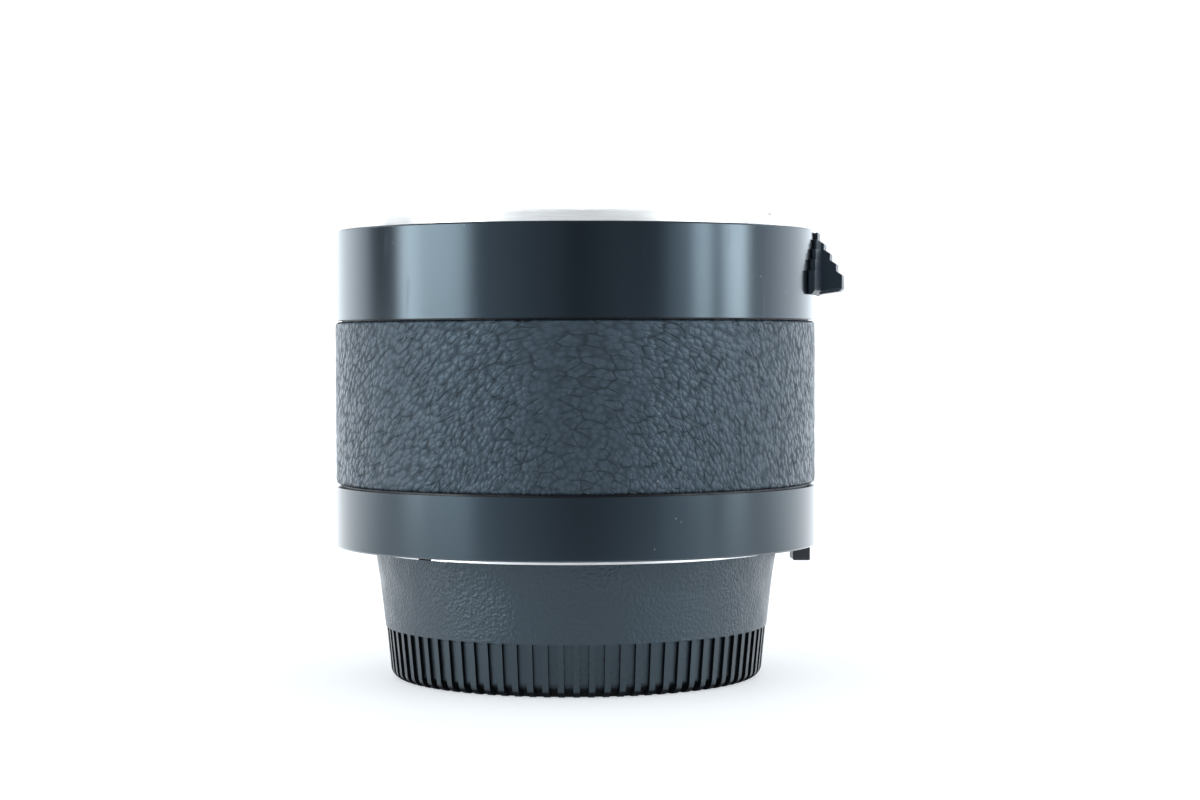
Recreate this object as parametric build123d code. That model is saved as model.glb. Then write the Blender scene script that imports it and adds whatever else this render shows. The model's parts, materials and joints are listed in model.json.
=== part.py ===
from build123d import *
from itertools import accumulate
import math
import os

# A camera teleconverter standing on its rear cap, in millimetres.
# The origin is the centre of the camera flange face on the optical axis, and +Z points to the lens.
# Azimuths are degrees about +Z from +X. The release lever is near +X and the photographed side faces -Y.
# Radii grow outwards from the bayonet by named walls and gaps, and heights grow from the two mounts.

# Clearances and allowances shared by many pieces
running_clearance = 0.1
assembly_clearance = 0.05
moving_clearance = 0.2
overrun = 1.0
fuse_depth = 0.3

# Lengths along the optical axis
flange_to_seat = 44.2
mount_ring_thickness = 1.7
front_shell_height = 11.82
front_shell_proud = 0.01
rear_shell_rise = 0.7
rear_shell_height = 7.97
grip_seam_low = 0.25
grip_seam_high = 0.2

mount_base = flange_to_seat - mount_ring_thickness
front_shell_high = mount_base + front_shell_proud
front_shell_low = front_shell_high - front_shell_height
rear_shell_high = rear_shell_rise + rear_shell_height
grip_low = rear_shell_high + grip_seam_low
grip_high = front_shell_low - grip_seam_high
barrel_middle = (rear_shell_high + front_shell_low) / 2

# Lens mount, a female bayonet with three tabs
bayonet_tab_radius = 22.05
bayonet_tab_depth = 1.6
bayonet_tab_relief = 0.25
bayonet_tab_degrees = 55
bayonet_first_azimuth = 30
mount_ring_chamfer = 0.2
mount_screw_count = 5
lens_screw_first_azimuth = 26
bayonet_notch_radius = bayonet_tab_radius + bayonet_tab_depth

# Leaf springs that pull the lens against its seat
leaf_thickness = 0.3
leaf_clearance = 0.25
leaf_root_width = 0.95
leaf_wall_gap = 0.15
leaf_reach = 1.25
leaf_drop = 1.2
leaf_degrees = 40
leaf_web_radius = bayonet_notch_radius + leaf_clearance
leaf_radius = leaf_web_radius + leaf_root_width
leaf_reach_radius = bayonet_notch_radius - leaf_reach

# Chassis
chassis_front_wall = 2.6
chassis_rear_wall = 2.8
land_step = 0.4
land_height = 1.9
rib_depth = 13.5
rib_thickness = 1.4
rib_width = 1.6
post_height = 12.0
post_degrees = 14
post_first_azimuth = 8
chassis_front_bore = leaf_radius + leaf_wall_gap
chassis_radius = chassis_front_bore + chassis_front_wall
chassis_rear_bore = chassis_radius - chassis_rear_wall
chassis_land_radius = chassis_radius + land_step
rib_high = mount_base - rib_depth
rib_low = rib_high - rib_thickness
rib_bore = chassis_rear_bore - rib_width
mount_ring_radius = chassis_land_radius
lens_screw_circle = (chassis_front_bore + chassis_radius) / 2
camera_screw_circle = (chassis_rear_bore + chassis_radius) / 2

# Camera mount, a male bayonet with three lugs
camera_flange_thickness = 1.2
camera_flange_inset = 0.25
register_wall = 1.95
register_depth = 3.0
camera_lug_clearance = 0.25
camera_lug_low = 2.95
camera_lug_high = 1.6
camera_lug_degrees = 52
camera_lug_first_azimuth = 60
camera_screw_first_azimuth = 10
lock_notch_width = 2.4
lock_notch_depth = 1.7
lock_notch_azimuth = 226
camera_flange_radius = chassis_land_radius - camera_flange_inset
register_radius = bayonet_tab_radius - running_clearance
register_bore = register_radius - register_wall
camera_lug_radius = bayonet_notch_radius - camera_lug_clearance

# Meter coupling, two rings joined by bars between the chassis and the sleeve
meter_bar_thickness = 1.2
meter_bar_degrees = 12
meter_bar_first_azimuth = 30
meter_front_height = 1.3
meter_front_inset = 0.21
meter_rear_height = 1.5
meter_rear_gap = 0.25
follower_azimuth = 50
follower_degrees = 10
follower_inset = 0.3
follower_gap = 0.24
ridge_azimuth = 1
ridge_degrees = 8
ridge_drop = 1.8
ridge_round = 0.25
ridge_overhang = 0.5
meter_inner = chassis_land_radius + running_clearance
meter_bar_radius = meter_inner + meter_bar_thickness
meter_front_high = front_shell_high - meter_front_inset
meter_front_low = meter_front_high - meter_front_height
meter_rear_low = camera_flange_thickness + running_clearance
meter_rear_high = meter_rear_low + meter_rear_height
follower_high = flange_to_seat - follower_inset

# Sleeve, shells and grip
spigot_wall = 1.4
spigot_clearance = 0.1
spigot_rise = 0.6
sleeve_step = 0.5
shell_wall = 1.55
shell_chamfer = 0.2
grip_thickness = 0.8
grip_edge_round = 0.35
counterbore_depth = 0.35
front_lip_thickness = 1.6
index_dot_radius = 0.9
index_dot_depth = 0.4
index_dot_proud = 0.03
index_azimuth = 90
sleeve_bore = meter_bar_radius + moving_clearance
spigot_radius = sleeve_bore + spigot_wall
spigot_bore = spigot_radius + spigot_clearance
sleeve_radius = spigot_radius + sleeve_step
shell_radius = spigot_bore + shell_wall
grip_bore = sleeve_radius + assembly_clearance
grip_radius = grip_bore + grip_thickness
rear_shell_counterbore = spigot_bore + counterbore_depth
meter_rear_radius = rear_shell_counterbore - meter_rear_gap

# Springs and the pegs that hold them
lock_spring_radius = 1.0
lock_spring_wire = 0.2
lock_spring_room = 6.0
lock_spring_turn_count = 5
coupling_spring_radius = 0.5
coupling_spring_wire = 0.15
stop_spring_turn_count = 8
meter_spring_turn_count = 10
peg_radius = 0.5
spring_end_gap = 0.15
stop_peg_gap = 0.6
stop_spring_offset = 0.2
stop_fixed_peg_azimuth = 70
stop_moving_peg_azimuth = 97
meter_spring_inset = 0.85
meter_peg_overlap = 0.55
meter_peg_height = 1.5
meter_fixed_peg_azimuth = 207
meter_moving_peg_azimuth = 242
meter_spring_circle = meter_rear_radius - meter_spring_inset
meter_spring_height = meter_rear_high + meter_peg_height / 2
rear_spigot_low = meter_rear_high + meter_peg_height + spigot_rise

# Lens release
release_azimuth = -10
release_travel = 2.5
lock_pin_radius = 0.9
lock_pin_proud = 0.75
lock_pin_tail_radius = 0.6
lock_pin_tail_length = 2.4
slider_gap = 0.6
slider_arm_thickness = 1.4
slider_plate_gap = 0.4
slider_plate_thickness = 0.8
slider_plate_height = 4.0
slider_half_width = 1.9
release_stem_drop = 3.0
release_stem_height = 2.8
release_screw_spacing = 1.9
lock_pin_circle = lens_screw_circle
lock_pin_bore = lock_pin_radius + running_clearance
slider_arm_high = meter_front_low - slider_gap
slider_arm_low = slider_arm_high - slider_arm_thickness
slider_plate_low = slider_arm_high - slider_plate_height
slider_plate_outer = spigot_bore - slider_plate_gap
slider_plate_inner = slider_plate_outer - slider_plate_thickness
lock_spring_seat = slider_arm_low - lock_spring_room
release_stem_low = slider_arm_high - release_stem_drop
front_spigot_high = slider_plate_low - release_travel - slider_plate_gap

# Release lever, a stepped thumb piece, with its steps counted from the top
lever_top_inset = 0.41
lever_half_width = 2.1
lever_shell_clearance = 0.15
lever_reach_steps = (0.36, 0.83, 0.8, 0.8, 0.77)
lever_drop_steps = (0, 0.95, 1.3, 1.4, 1.45)
lever_root_steps = (0.3, 0.9, 1.25, 1.0, 0.9)
lever_base_height = 3.1
lever_base_rise = 0.45
lever_base_chamfer = 0.4
lever_tread_drop = 0.55
lever_foot_thickness = 0.15
lever_flare = 0.6
lever_tip = 0.12
lever_flank_chamfer = 0.45
lever_inner = shell_radius + lever_shell_clearance
lever_high = front_shell_high - lever_top_inset
lever_reaches = [shell_radius + reach for reach in accumulate(lever_reach_steps)]
lever_treads = [lever_high - drop for drop in accumulate(lever_drop_steps)]
lever_roots = [lever_half_width + spread for spread in accumulate(lever_root_steps)]
lever_low = lever_treads[-1] - lever_base_height

# Aperture coupling, a cage with an arm at each end
cage_wall = 1.8
cage_flange_width = 1.3
cage_flange_height = 1.2
arm_thickness = 1.0
arm_plate_degrees = 16
arm_finger_degrees = 9
front_arm_inset = 0.6
front_arm_depth = 2.0
front_arm_azimuth = 200
rear_arm_gap = 0.4
rear_arm_reach = 3.0
rear_arm_azimuth = 20
stop_down_degrees = 20
arm_slot_margin_degrees = 2
clip_rise = 6.8
clip_height = 0.8
clip_bite = 0.4
clip_width = 1.6
clip_gap_degrees = 40
clip_low = camera_flange_thickness + clip_rise
clip_radius = chassis_rear_bore + clip_bite
clip_inner = clip_radius - clip_width
cage_low = clip_low + clip_height + moving_clearance
cage_high = rib_low - moving_clearance
cage_radius = chassis_rear_bore - running_clearance
cage_inner = cage_radius - cage_wall
cage_flange_bore = cage_inner - cage_flange_width
arm_plate_radius = rib_bore - moving_clearance
arm_screw_circle = (cage_flange_bore + cage_inner) / 2
front_arm_outer = cage_flange_bore - front_arm_inset
front_arm_inner = front_arm_outer - arm_thickness
front_arm_high = mount_base - front_arm_depth
rear_arm_outer = register_bore - rear_arm_gap
rear_arm_inner = rear_arm_outer - arm_thickness
rear_arm_low = -(register_depth + rear_arm_reach)

# Glass: edge thickness of each element, then how far the middle of its rear and front faces
# stands towards the lens side from the edge of that face
element_1_edge, element_1_rear, element_1_front = 1.8, -1.2, 1.5
element_2_edge, element_2_rear, element_2_front = 3.4, 0.9, -1.2
element_3_edge, element_3_rear, element_3_front = 3.6, 0.8, -1.0
element_4_edge, element_4_rear, element_4_front = 2.0, -1.2, 0.9
element_5_edge, element_5_rear, element_5_front = 2.0, -1.3, 1.0
element_6_edge, element_6_rear, element_6_front = 3.8, 1.2, -1.3
element_7_edge, element_7_rear, element_7_front = 3.0, 1.6, 1.0
cement_gap = 0.02
spacer_wall = 1.3
retaining_ring_wall = 1.6
retaining_ring_height = 1.7
front_spacer_height = 2.3
middle_spacer_height = 2.6
rear_spacer_height = 2.6
glass_seat_width = retaining_ring_wall + running_clearance

# Lens barrel, with the glass stacked forwards and backwards from its web
cell_web_drop = 2.4
cell_web_thickness = 1.8
cell_web_width = 1.6
cell_front_wall = 2.5
cell_rear_wall = 2.3
cell_front_margin = 0.2
cell_rear_margin = 1.2
cell_cage_gap = 1.0
cell_arm_gap = 0.5
cell_rear_gap = 1.3
cell_step_gap = 0.4
cell_rear_rise = 3.0
cell_flange_thickness = 1.4
cell_web_high = rib_low - cell_web_drop
cell_web_low = cell_web_high - cell_web_thickness
front_glass_height = element_3_edge + front_spacer_height + element_2_edge + element_1_edge
front_stack_height = front_glass_height + retaining_ring_height
rear_glass_height = element_4_edge + element_5_edge + element_6_edge + element_7_edge
rear_stack_height = rear_glass_height + middle_spacer_height + rear_spacer_height + retaining_ring_height
cell_high = cell_web_high + front_stack_height + cell_front_margin
cell_low = cell_web_low - rear_stack_height - cell_rear_margin
cell_middle_radius = cage_flange_bore - cell_cage_gap
cell_front_radius = front_arm_inner - cell_arm_gap
cell_rear_radius = rear_arm_inner - cell_rear_gap
cell_middle_low = cage_low + cell_rear_rise
cell_middle_high = cage_high - cage_flange_height - cell_step_gap
cell_flange_radius = chassis_front_bore - running_clearance
cell_flange_high = rib_high + cell_flange_thickness
cell_screw_height = rib_high + cell_flange_thickness / 2
cell_front_bore = cell_front_radius - cell_front_wall
cell_rear_bore = cell_rear_radius - cell_rear_wall
cell_web_bore = cell_rear_bore - cell_web_width
stop_spring_height = (cage_low + cage_high) / 2
stop_spring_circle = (cell_middle_radius + cage_inner) / 2 + stop_spring_offset

# Light shields
shield_thickness = 0.6
front_shield_overlap = 0.5
rear_shield_bore = cell_rear_radius + moving_clearance
front_shield_bore = cell_front_bore - front_shield_overlap

# Screws
mount_shank_radius = 0.7
mount_head_radius = 1.25
mount_head_height = 0.8
mount_screw_length = 5.0
mount_head_sunk = 0.08
small_shank_radius = 0.5
small_head_radius = 0.85
small_head_height = 0.5
sleeve_screw_length = 2.6
cell_screw_radius = 0.45
cell_screw_length = 3.8
cell_screw_depth = 0.1
cell_screw_first_azimuth = 60
arm_screw_length = 2.0
arm_screw_spread_degrees = 9
release_screw_length = 1.9
recess_width = 0.3
recess_depth = 0.35
lens_screw_top = flange_to_seat - mount_head_sunk
sleeve_screw_seat = sleeve_radius - small_head_height - assembly_clearance

# Rear cap
cap_gap = 0.1
cap_height = 17.0
cap_floor = 1.5
cap_lug_gap = 1.6
cap_rim_wall = 2.05
cap_bore_taper = 2.4
cap_mid_drop = 3.67
cap_mid_taper = 0.6
cap_rib_height = 6.9
cap_rib_taper = 1.35
cap_base_taper = 1.9
cap_base_round = 1.5
cap_rib_inset = 0.12
cap_rib_width = 0.8
cap_rib_count = 80
cap_groove_depth = 0.55
cap_tab_gap = 0.35
cap_tab_thickness = 1.2
cap_tab_drop = 0.1
cap_tab_degrees = 45
cap_rim = -cap_gap
cap_low = cap_rim - cap_height
cap_rib_top = cap_low + cap_rib_height
cap_bore_radius = camera_lug_radius + cap_lug_gap
cap_rim_radius = cap_bore_radius + cap_rim_wall
cap_mid_radius = cap_rim_radius - cap_mid_taper
cap_rib_top_radius = cap_rim_radius - cap_rib_taper
cap_base_radius = cap_rim_radius - cap_base_taper
cap_tab_radius = register_radius + cap_tab_gap

BASE = (Align.CENTER, Align.CENTER, Align.MIN)
OUTWARD = (Align.MIN, Align.CENTER, Align.MIN)


def disc(radius, low, high):
    return Pos(0, 0, low) * Cylinder(radius, high - low, align=BASE)


def ring(inner, outer, low, high):
    return disc(outer, low, high) - disc(inner, low, high)


def section(points):
    """A closed face in the XZ half plane from (radius, height) points."""
    return make_face(Polyline(*[(radius, 0, height) for radius, height in points], close=True))


def turned(points):
    return revolve(section(points), axis=Axis.Z)


def turned_arc(points, azimuth, degrees):
    """A turned profile that spans only some degrees, centred on an azimuth."""
    return Rot(0, 0, azimuth - degrees / 2) * revolve(section(points), axis=Axis.Z, revolution_arc=degrees)


def sector(inner, outer, low, high, azimuth, degrees):
    return turned_arc([(inner, low), (outer, low), (outer, high), (inner, high)], azimuth, degrees)


def at(azimuth, radius, height, shape):
    """Put a shape at a radius and height, turned with its azimuth."""
    return Rot(0, 0, azimuth) * Pos(radius, 0, height) * shape


def copies(shape, count, first=0):
    """Equally spaced copies of a shape round the optical axis."""
    return [Rot(0, 0, first + 360 * index / count) * shape for index in range(count)]


def fused(shapes):
    total = shapes[0]
    for shape in shapes[1:]:
        total = total + shape
    return total


def group(shapes):
    """Separate solids that share one node."""
    return Compound([solid for shape in shapes for solid in shape.solids()])


def radial_rod(radius, inner, outer):
    """A rod along +X between two radii."""
    return Pos(inner, 0, 0) * Rot(0, 90, 0) * Cylinder(radius, outer - inner, align=BASE)


def cross_recess():
    across = small_head_radius
    bar = Box(across, recess_width, recess_depth * 2)
    return bar + Rot(0, 0, 90) * bar


def countersunk_screw(clearance=0):
    """A screw along -Z whose flat head top is at height zero."""
    shank = mount_shank_radius + clearance
    head = mount_head_radius + clearance
    outline = [
        (0, 0),
        (head, 0),
        (shank, -mount_head_height),
        (shank, -mount_screw_length),
        (0, -mount_screw_length),
    ]
    return turned(outline)


def countersunk_hole():
    above = disc(mount_head_radius + assembly_clearance, 0, overrun)
    return countersunk_screw(assembly_clearance) + above


def mount_screw():
    return countersunk_screw() - cross_recess()


def cheese_screw(length):
    """A small screw along -Z with its shoulder at height zero and its head above."""
    head = disc(small_head_radius, 0, small_head_height)
    recess = Pos(0, 0, small_head_height) * cross_recess()
    return head + disc(small_shank_radius, -length, small_head_height / 2) - recess


def screw_hole(length):
    return disc(small_shank_radius + assembly_clearance, -length - assembly_clearance, overrun)


def coil_spring(mean_radius, wire_radius, length, turns):
    """A helical spring that rises from height zero to its length."""
    rise = length - 2 * wire_radius
    path = Helix(pitch=rise / turns, height=rise, radius=mean_radius)
    wire = Plane(origin=path @ 0, z_dir=path % 0) * Circle(wire_radius)
    return Pos(0, 0, wire_radius) * sweep(wire, path=path, is_frenet=True)


def chord_spring(circle, height, first_azimuth, last_azimuth, turns):
    """A coil that lies straight between two azimuths of a circle, at one height."""
    start = Vector(circle, 0, height).rotate(Axis.Z, first_azimuth)
    end = Vector(circle, 0, height).rotate(Axis.Z, last_azimuth)
    length = (end - start).length
    coil = coil_spring(coupling_spring_radius, coupling_spring_wire, length, turns)
    return Plane(origin=start, z_dir=end - start) * coil


def peg_edge_degrees(circle):
    """Half the angle that a spring peg and the gap at a spring's end take up on a circle."""
    return math.degrees((peg_radius + spring_end_gap) / circle)


# Housing


def front_shell():
    """Gloss black front shell with its inner lip, the slot for the release and the index recess."""
    lip_bore = meter_bar_radius + moving_clearance
    lip_low = front_shell_high - front_lip_thickness
    outline = [
        (spigot_bore, front_shell_low),
        (shell_radius, front_shell_low),
        (shell_radius, front_shell_high - shell_chamfer),
        (shell_radius - shell_chamfer, front_shell_high),
        (lip_bore, front_shell_high),
        (lip_bore, lip_low),
        (spigot_bore, lip_low),
    ]
    slot_width = 2 * (slider_half_width + moving_clearance)
    slot_low = release_stem_low - release_travel - moving_clearance
    slot_high = release_stem_low + release_stem_height + moving_clearance
    slot_middle = (slot_low + slot_high) / 2
    slot_reach = 2 * (shell_radius - spigot_bore + overrun)
    slot = at(release_azimuth, shell_radius, slot_middle, Box(slot_reach, slot_width, slot_high - slot_low))
    return turned(outline) - slot - index_recess(front_index_height())


def rear_shell():
    """Gloss black rear shell, counterbored for the meter coupling ring, with the fixed spring peg."""
    outline = [
        (rear_shell_counterbore, rear_shell_rise),
        (shell_radius - shell_chamfer, rear_shell_rise),
        (shell_radius, rear_shell_rise + shell_chamfer),
        (shell_radius, rear_shell_high),
        (spigot_bore, rear_shell_high),
        (spigot_bore, rear_spigot_low),
        (rear_shell_counterbore, rear_spigot_low),
    ]
    peg = radial_rod(peg_radius, meter_spring_circle - meter_peg_overlap, rear_shell_counterbore + fuse_depth)
    peg = at(meter_fixed_peg_azimuth, 0, meter_spring_height, peg)
    return turned(outline) + peg - index_recess(rear_index_height())


def front_index_height():
    return front_shell_low + index_dot_radius * 2


def rear_index_height():
    return (rear_shell_rise + rear_shell_high) / 2


def index_recess(height):
    low = shell_radius - index_dot_depth
    rod = radial_rod(index_dot_radius + assembly_clearance, low, shell_radius + overrun)
    return at(index_azimuth, 0, height, rod)


def index_dots():
    """Painted plugs that mark where the bayonets are put together."""
    low = shell_radius - index_dot_depth + assembly_clearance
    dot = radial_rod(index_dot_radius, low, shell_radius + index_dot_proud)
    heights = (front_index_height(), rear_index_height())
    return group([at(index_azimuth, 0, height, dot) for height in heights])


def sleeve():
    """Main tube under the grip, with a spigot at each end for the shells."""
    outline = [
        (sleeve_bore, rear_spigot_low + assembly_clearance),
        (spigot_radius, rear_spigot_low + assembly_clearance),
        (spigot_radius, rear_shell_high),
        (sleeve_radius, rear_shell_high),
        (sleeve_radius, front_shell_low),
        (spigot_radius, front_shell_low),
        (spigot_radius, front_spigot_high),
        (sleeve_bore, front_spigot_high),
    ]
    counterbore_radius = small_head_radius + assembly_clearance
    counterbore = radial_rod(counterbore_radius, sleeve_screw_seat, sleeve_radius + overrun)
    bore = radial_rod(small_shank_radius + assembly_clearance, sleeve_bore - overrun, sleeve_radius)
    holes = copies(Pos(0, 0, barrel_middle) * (counterbore + bore), 3, post_first_azimuth)
    return turned(outline) - holes


def sleeve_screws():
    screw = at(0, sleeve_screw_seat, barrel_middle, Rot(0, 90, 0) * cheese_screw(sleeve_screw_length))
    return group(copies(screw, 3, post_first_azimuth))


def grip_band():
    """Leatherette band with softly rounded edges."""
    band = ring(grip_bore, grip_radius, grip_low, grip_high)
    rims = band.edges().filter_by(GeomType.CIRCLE).group_by(SortBy.RADIUS)[-1]
    return fillet(rims, grip_edge_round)


def chassis():
    """Inner frame: land for the meter rings, rib for the optics, posts to the sleeve, release slot."""
    outline = [
        (chassis_rear_bore, camera_flange_thickness),
        (chassis_land_radius, camera_flange_thickness),
        (chassis_land_radius, camera_flange_thickness + land_height),
        (chassis_radius, camera_flange_thickness + land_height),
        (chassis_radius, mount_base - land_height),
        (chassis_land_radius, mount_base - land_height),
        (chassis_land_radius, mount_base),
        (chassis_front_bore, mount_base),
        (chassis_front_bore, rib_high),
        (rib_bore, rib_high),
        (rib_bore, rib_low),
        (chassis_rear_bore, rib_low),
    ]
    post_outer = sleeve_bore - assembly_clearance
    post_low = barrel_middle - post_height / 2
    post_high = barrel_middle + post_height / 2
    post = sector(chassis_radius - fuse_depth, post_outer, post_low, post_high, 0, post_degrees)
    body = fused([turned(outline)] + copies(post, 3, post_first_azimuth))
    return body - chassis_cuts()


def chassis_cuts():
    """Everything drilled or milled out of the chassis."""
    sleeve_hole_end = sleeve_screw_seat - sleeve_screw_length - assembly_clearance
    sleeve_hole = radial_rod(small_shank_radius + assembly_clearance, sleeve_hole_end, sleeve_bore + overrun)
    sleeve_holes = copies(Pos(0, 0, barrel_middle) * sleeve_hole, 3, post_first_azimuth)
    lens_hole = at(0, lens_screw_circle, lens_screw_top, countersunk_hole())
    lens_holes = copies(lens_hole, mount_screw_count, lens_screw_first_azimuth)
    camera_hole = at(0, camera_screw_circle, mount_head_sunk, Rot(180, 0, 0) * countersunk_hole())
    camera_holes = copies(camera_hole, mount_screw_count, camera_screw_first_azimuth)
    cell_hole = radial_rod(cell_screw_radius + assembly_clearance, rib_bore, chassis_radius + overrun)
    cell_holes = copies(Pos(0, 0, cell_screw_height) * cell_hole, 3, cell_screw_first_azimuth)
    clip_groove = ring(
        chassis_rear_bore - overrun,
        clip_radius + assembly_clearance,
        clip_low - assembly_clearance,
        clip_low + clip_height + assembly_clearance,
    )
    pin_bore = disc(lock_pin_bore, lock_spring_seat, mount_base + overrun)
    pin_hole = at(release_azimuth, lock_pin_circle, 0, pin_bore)
    return [release_window(), pin_hole, clip_groove] + sleeve_holes + lens_holes + camera_holes + cell_holes


def release_window():
    """Opening in the chassis wall that the slider's arm and the lock spring stand in."""
    high = slider_arm_high + moving_clearance
    depth = 2 * (chassis_land_radius - chassis_front_bore + overrun)
    box = Box(depth, 2 * (slider_half_width + moving_clearance), high - lock_spring_seat)
    return at(release_azimuth, lock_pin_circle, (high + lock_spring_seat) / 2, box)


# Lens mount


def lens_mount_ring():
    """Bright ring with the seat face, three bayonet tabs, screw holes and the lock pin hole."""
    outline = [
        (bayonet_notch_radius, mount_base),
        (mount_ring_radius, mount_base),
        (mount_ring_radius, flange_to_seat - mount_ring_chamfer),
        (mount_ring_radius - mount_ring_chamfer, flange_to_seat),
        (bayonet_notch_radius, flange_to_seat),
    ]
    tab_low = mount_base + bayonet_tab_relief
    tab_outer = bayonet_notch_radius + fuse_depth
    tab = sector(bayonet_tab_radius, tab_outer, tab_low, flange_to_seat, 0, bayonet_tab_degrees)
    body = fused([turned(outline)] + copies(tab, 3, bayonet_first_azimuth))
    hole = at(0, lens_screw_circle, lens_screw_top, countersunk_hole())
    holes = copies(hole, mount_screw_count, lens_screw_first_azimuth)
    pin_hole = at(release_azimuth, lock_pin_circle, mount_base, disc(lock_pin_bore, -overrun, flange_to_seat))
    return body - (holes + [pin_hole])


def lens_mount_screws():
    screw = at(0, lens_screw_circle, lens_screw_top, mount_screw())
    return group(copies(screw, mount_screw_count, lens_screw_first_azimuth))


def bayonet_springs():
    """Three leaves under the tabs, each hung from the underside of the mount ring."""
    shelf_high = mount_base - leaf_drop
    outline = [
        (leaf_reach_radius, shelf_high - leaf_thickness),
        (leaf_web_radius + leaf_thickness, shelf_high - leaf_thickness),
        (leaf_web_radius + leaf_thickness, mount_base - leaf_thickness),
        (leaf_radius, mount_base - leaf_thickness),
        (leaf_radius, mount_base),
        (leaf_web_radius, mount_base),
        (leaf_web_radius, shelf_high),
        (leaf_reach_radius, shelf_high),
    ]
    return group(copies(turned_arc(outline, 0, leaf_degrees), 3, bayonet_first_azimuth))


# Camera mount


def camera_mount_ring():
    """Flange, register tube and three lugs that enter the camera's bayonet."""
    outline = [
        (register_bore, -register_depth),
        (register_radius, -register_depth),
        (register_radius, 0),
        (camera_flange_radius, 0),
        (camera_flange_radius, camera_flange_thickness),
        (register_bore, camera_flange_thickness),
    ]
    lug = sector(
        register_radius - fuse_depth, camera_lug_radius, -camera_lug_low, -camera_lug_high, 0, camera_lug_degrees
    )
    body = fused([turned(outline)] + copies(lug, 3, camera_lug_first_azimuth))
    hole = at(0, camera_screw_circle, mount_head_sunk, Rot(180, 0, 0) * countersunk_hole())
    holes = copies(hole, mount_screw_count, camera_screw_first_azimuth)
    notch = Box(2 * lock_notch_depth, lock_notch_width, 2 * (camera_flange_thickness + overrun))
    notch = at(lock_notch_azimuth, camera_flange_radius, 0, notch)
    return body - (holes + [notch])


def camera_mount_screws():
    screw = at(0, camera_screw_circle, mount_head_sunk, Rot(180, 0, 0) * mount_screw())
    return group(copies(screw, mount_screw_count, camera_screw_first_azimuth))


# Lens release


def release_slider():
    """Bent plate behind the lever: an upright that takes the screws and an arm that holds the pin."""
    arm_inner = lock_pin_circle - lock_pin_radius - fuse_depth
    width = 2 * slider_half_width
    arm = Box(slider_plate_outer - arm_inner, width, slider_arm_thickness, align=OUTWARD)
    plate = Box(slider_plate_thickness, width, slider_plate_height, align=OUTWARD)
    pin_hole = disc(lock_pin_radius + assembly_clearance, slider_arm_low - overrun, slider_arm_high + overrun)
    arm = Pos(arm_inner, 0, slider_arm_low) * arm
    plate = Pos(slider_plate_inner, 0, slider_plate_low) * plate
    pin_hole = Pos(lock_pin_circle, 0, 0) * pin_hole
    return Rot(0, 0, release_azimuth) * (arm + plate - pin_hole - release_screw_holes())


def release_screw_places():
    """The two screws sit side by side under the arm."""
    height = slider_arm_low - small_head_radius - assembly_clearance
    side = release_screw_spacing / 2
    return [Pos(slider_plate_inner, y, height) * Rot(0, -90, 0) for y in (-side, side)]


def release_screw_holes():
    return [place * screw_hole(release_screw_length) for place in release_screw_places()]


def release_screws():
    screws = [place * cheese_screw(release_screw_length) for place in release_screw_places()]
    return Rot(0, 0, release_azimuth) * group(screws)


def lock_pin():
    """Pin that drops into the lens, with a shoulder over the arm and a tail inside its spring."""
    high = flange_to_seat + lock_pin_proud
    tail_low = slider_arm_low - lock_pin_tail_length
    pin = turned([
        (0, tail_low),
        (lock_pin_tail_radius, tail_low),
        (lock_pin_tail_radius, slider_arm_low),
        (lock_pin_radius, slider_arm_low),
        (lock_pin_radius, high - mount_ring_chamfer),
        (lock_pin_radius - mount_ring_chamfer, high),
        (0, high),
    ])
    return at(release_azimuth, lock_pin_circle, 0, pin)


def lock_spring():
    length = lock_spring_room - 2 * assembly_clearance
    coil = coil_spring(lock_spring_radius, lock_spring_wire, length, lock_spring_turn_count)
    return at(release_azimuth, lock_pin_circle, lock_spring_seat + assembly_clearance, coil)


def lever_plan(reach, root_half_width):
    """Outline of one step seen from above: flanks that slope out to a foot on the shell."""
    foot = lever_inner + lever_foot_thickness
    flare_end = min(foot + lever_flare, reach - lever_tip)
    flank = [
        (spigot_radius, root_half_width),
        (foot, root_half_width),
        (flare_end, lever_half_width),
        (reach, lever_half_width),
    ]
    other_flank = [(radius, -side) for radius, side in reversed(flank)]
    return make_face(Polyline(*flank, *other_flank, close=True))


def lever_side():
    """Side view of the lever: a staircase with sloping treads over a base that rises outwards."""
    outer_low = lever_low + lever_base_rise
    points = [
        (spigot_radius, lever_low),
        (lever_inner, lever_low),
        (lever_reaches[-1] - lever_base_chamfer, outer_low),
        (lever_reaches[-1], outer_low + lever_base_chamfer),
    ]
    for index in range(len(lever_reaches) - 1, 0, -1):
        points.append((lever_reaches[index], lever_treads[index] - lever_tread_drop))
        points.append((lever_reaches[index - 1], lever_treads[index]))
    points += [(lever_reaches[0], lever_high), (spigot_radius, lever_high)]
    width = 4 * lever_roots[-1]
    return Pos(0, width / 2, 0) * extrude(section(points), amount=width, dir=(0, -1, 0))


def lever_base_edges(grip):
    """Edges along the bottom of both flanks."""
    edges = []
    for edge in grip.edges():
        box = edge.bounding_box()
        low = box.max.Z < lever_low + lever_base_rise + assembly_clearance
        flank = box.min.X > lever_inner and box.max.X - box.min.X > lever_flare / 2
        if low and flank:
            edges.append(edge)
    return edges


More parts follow.
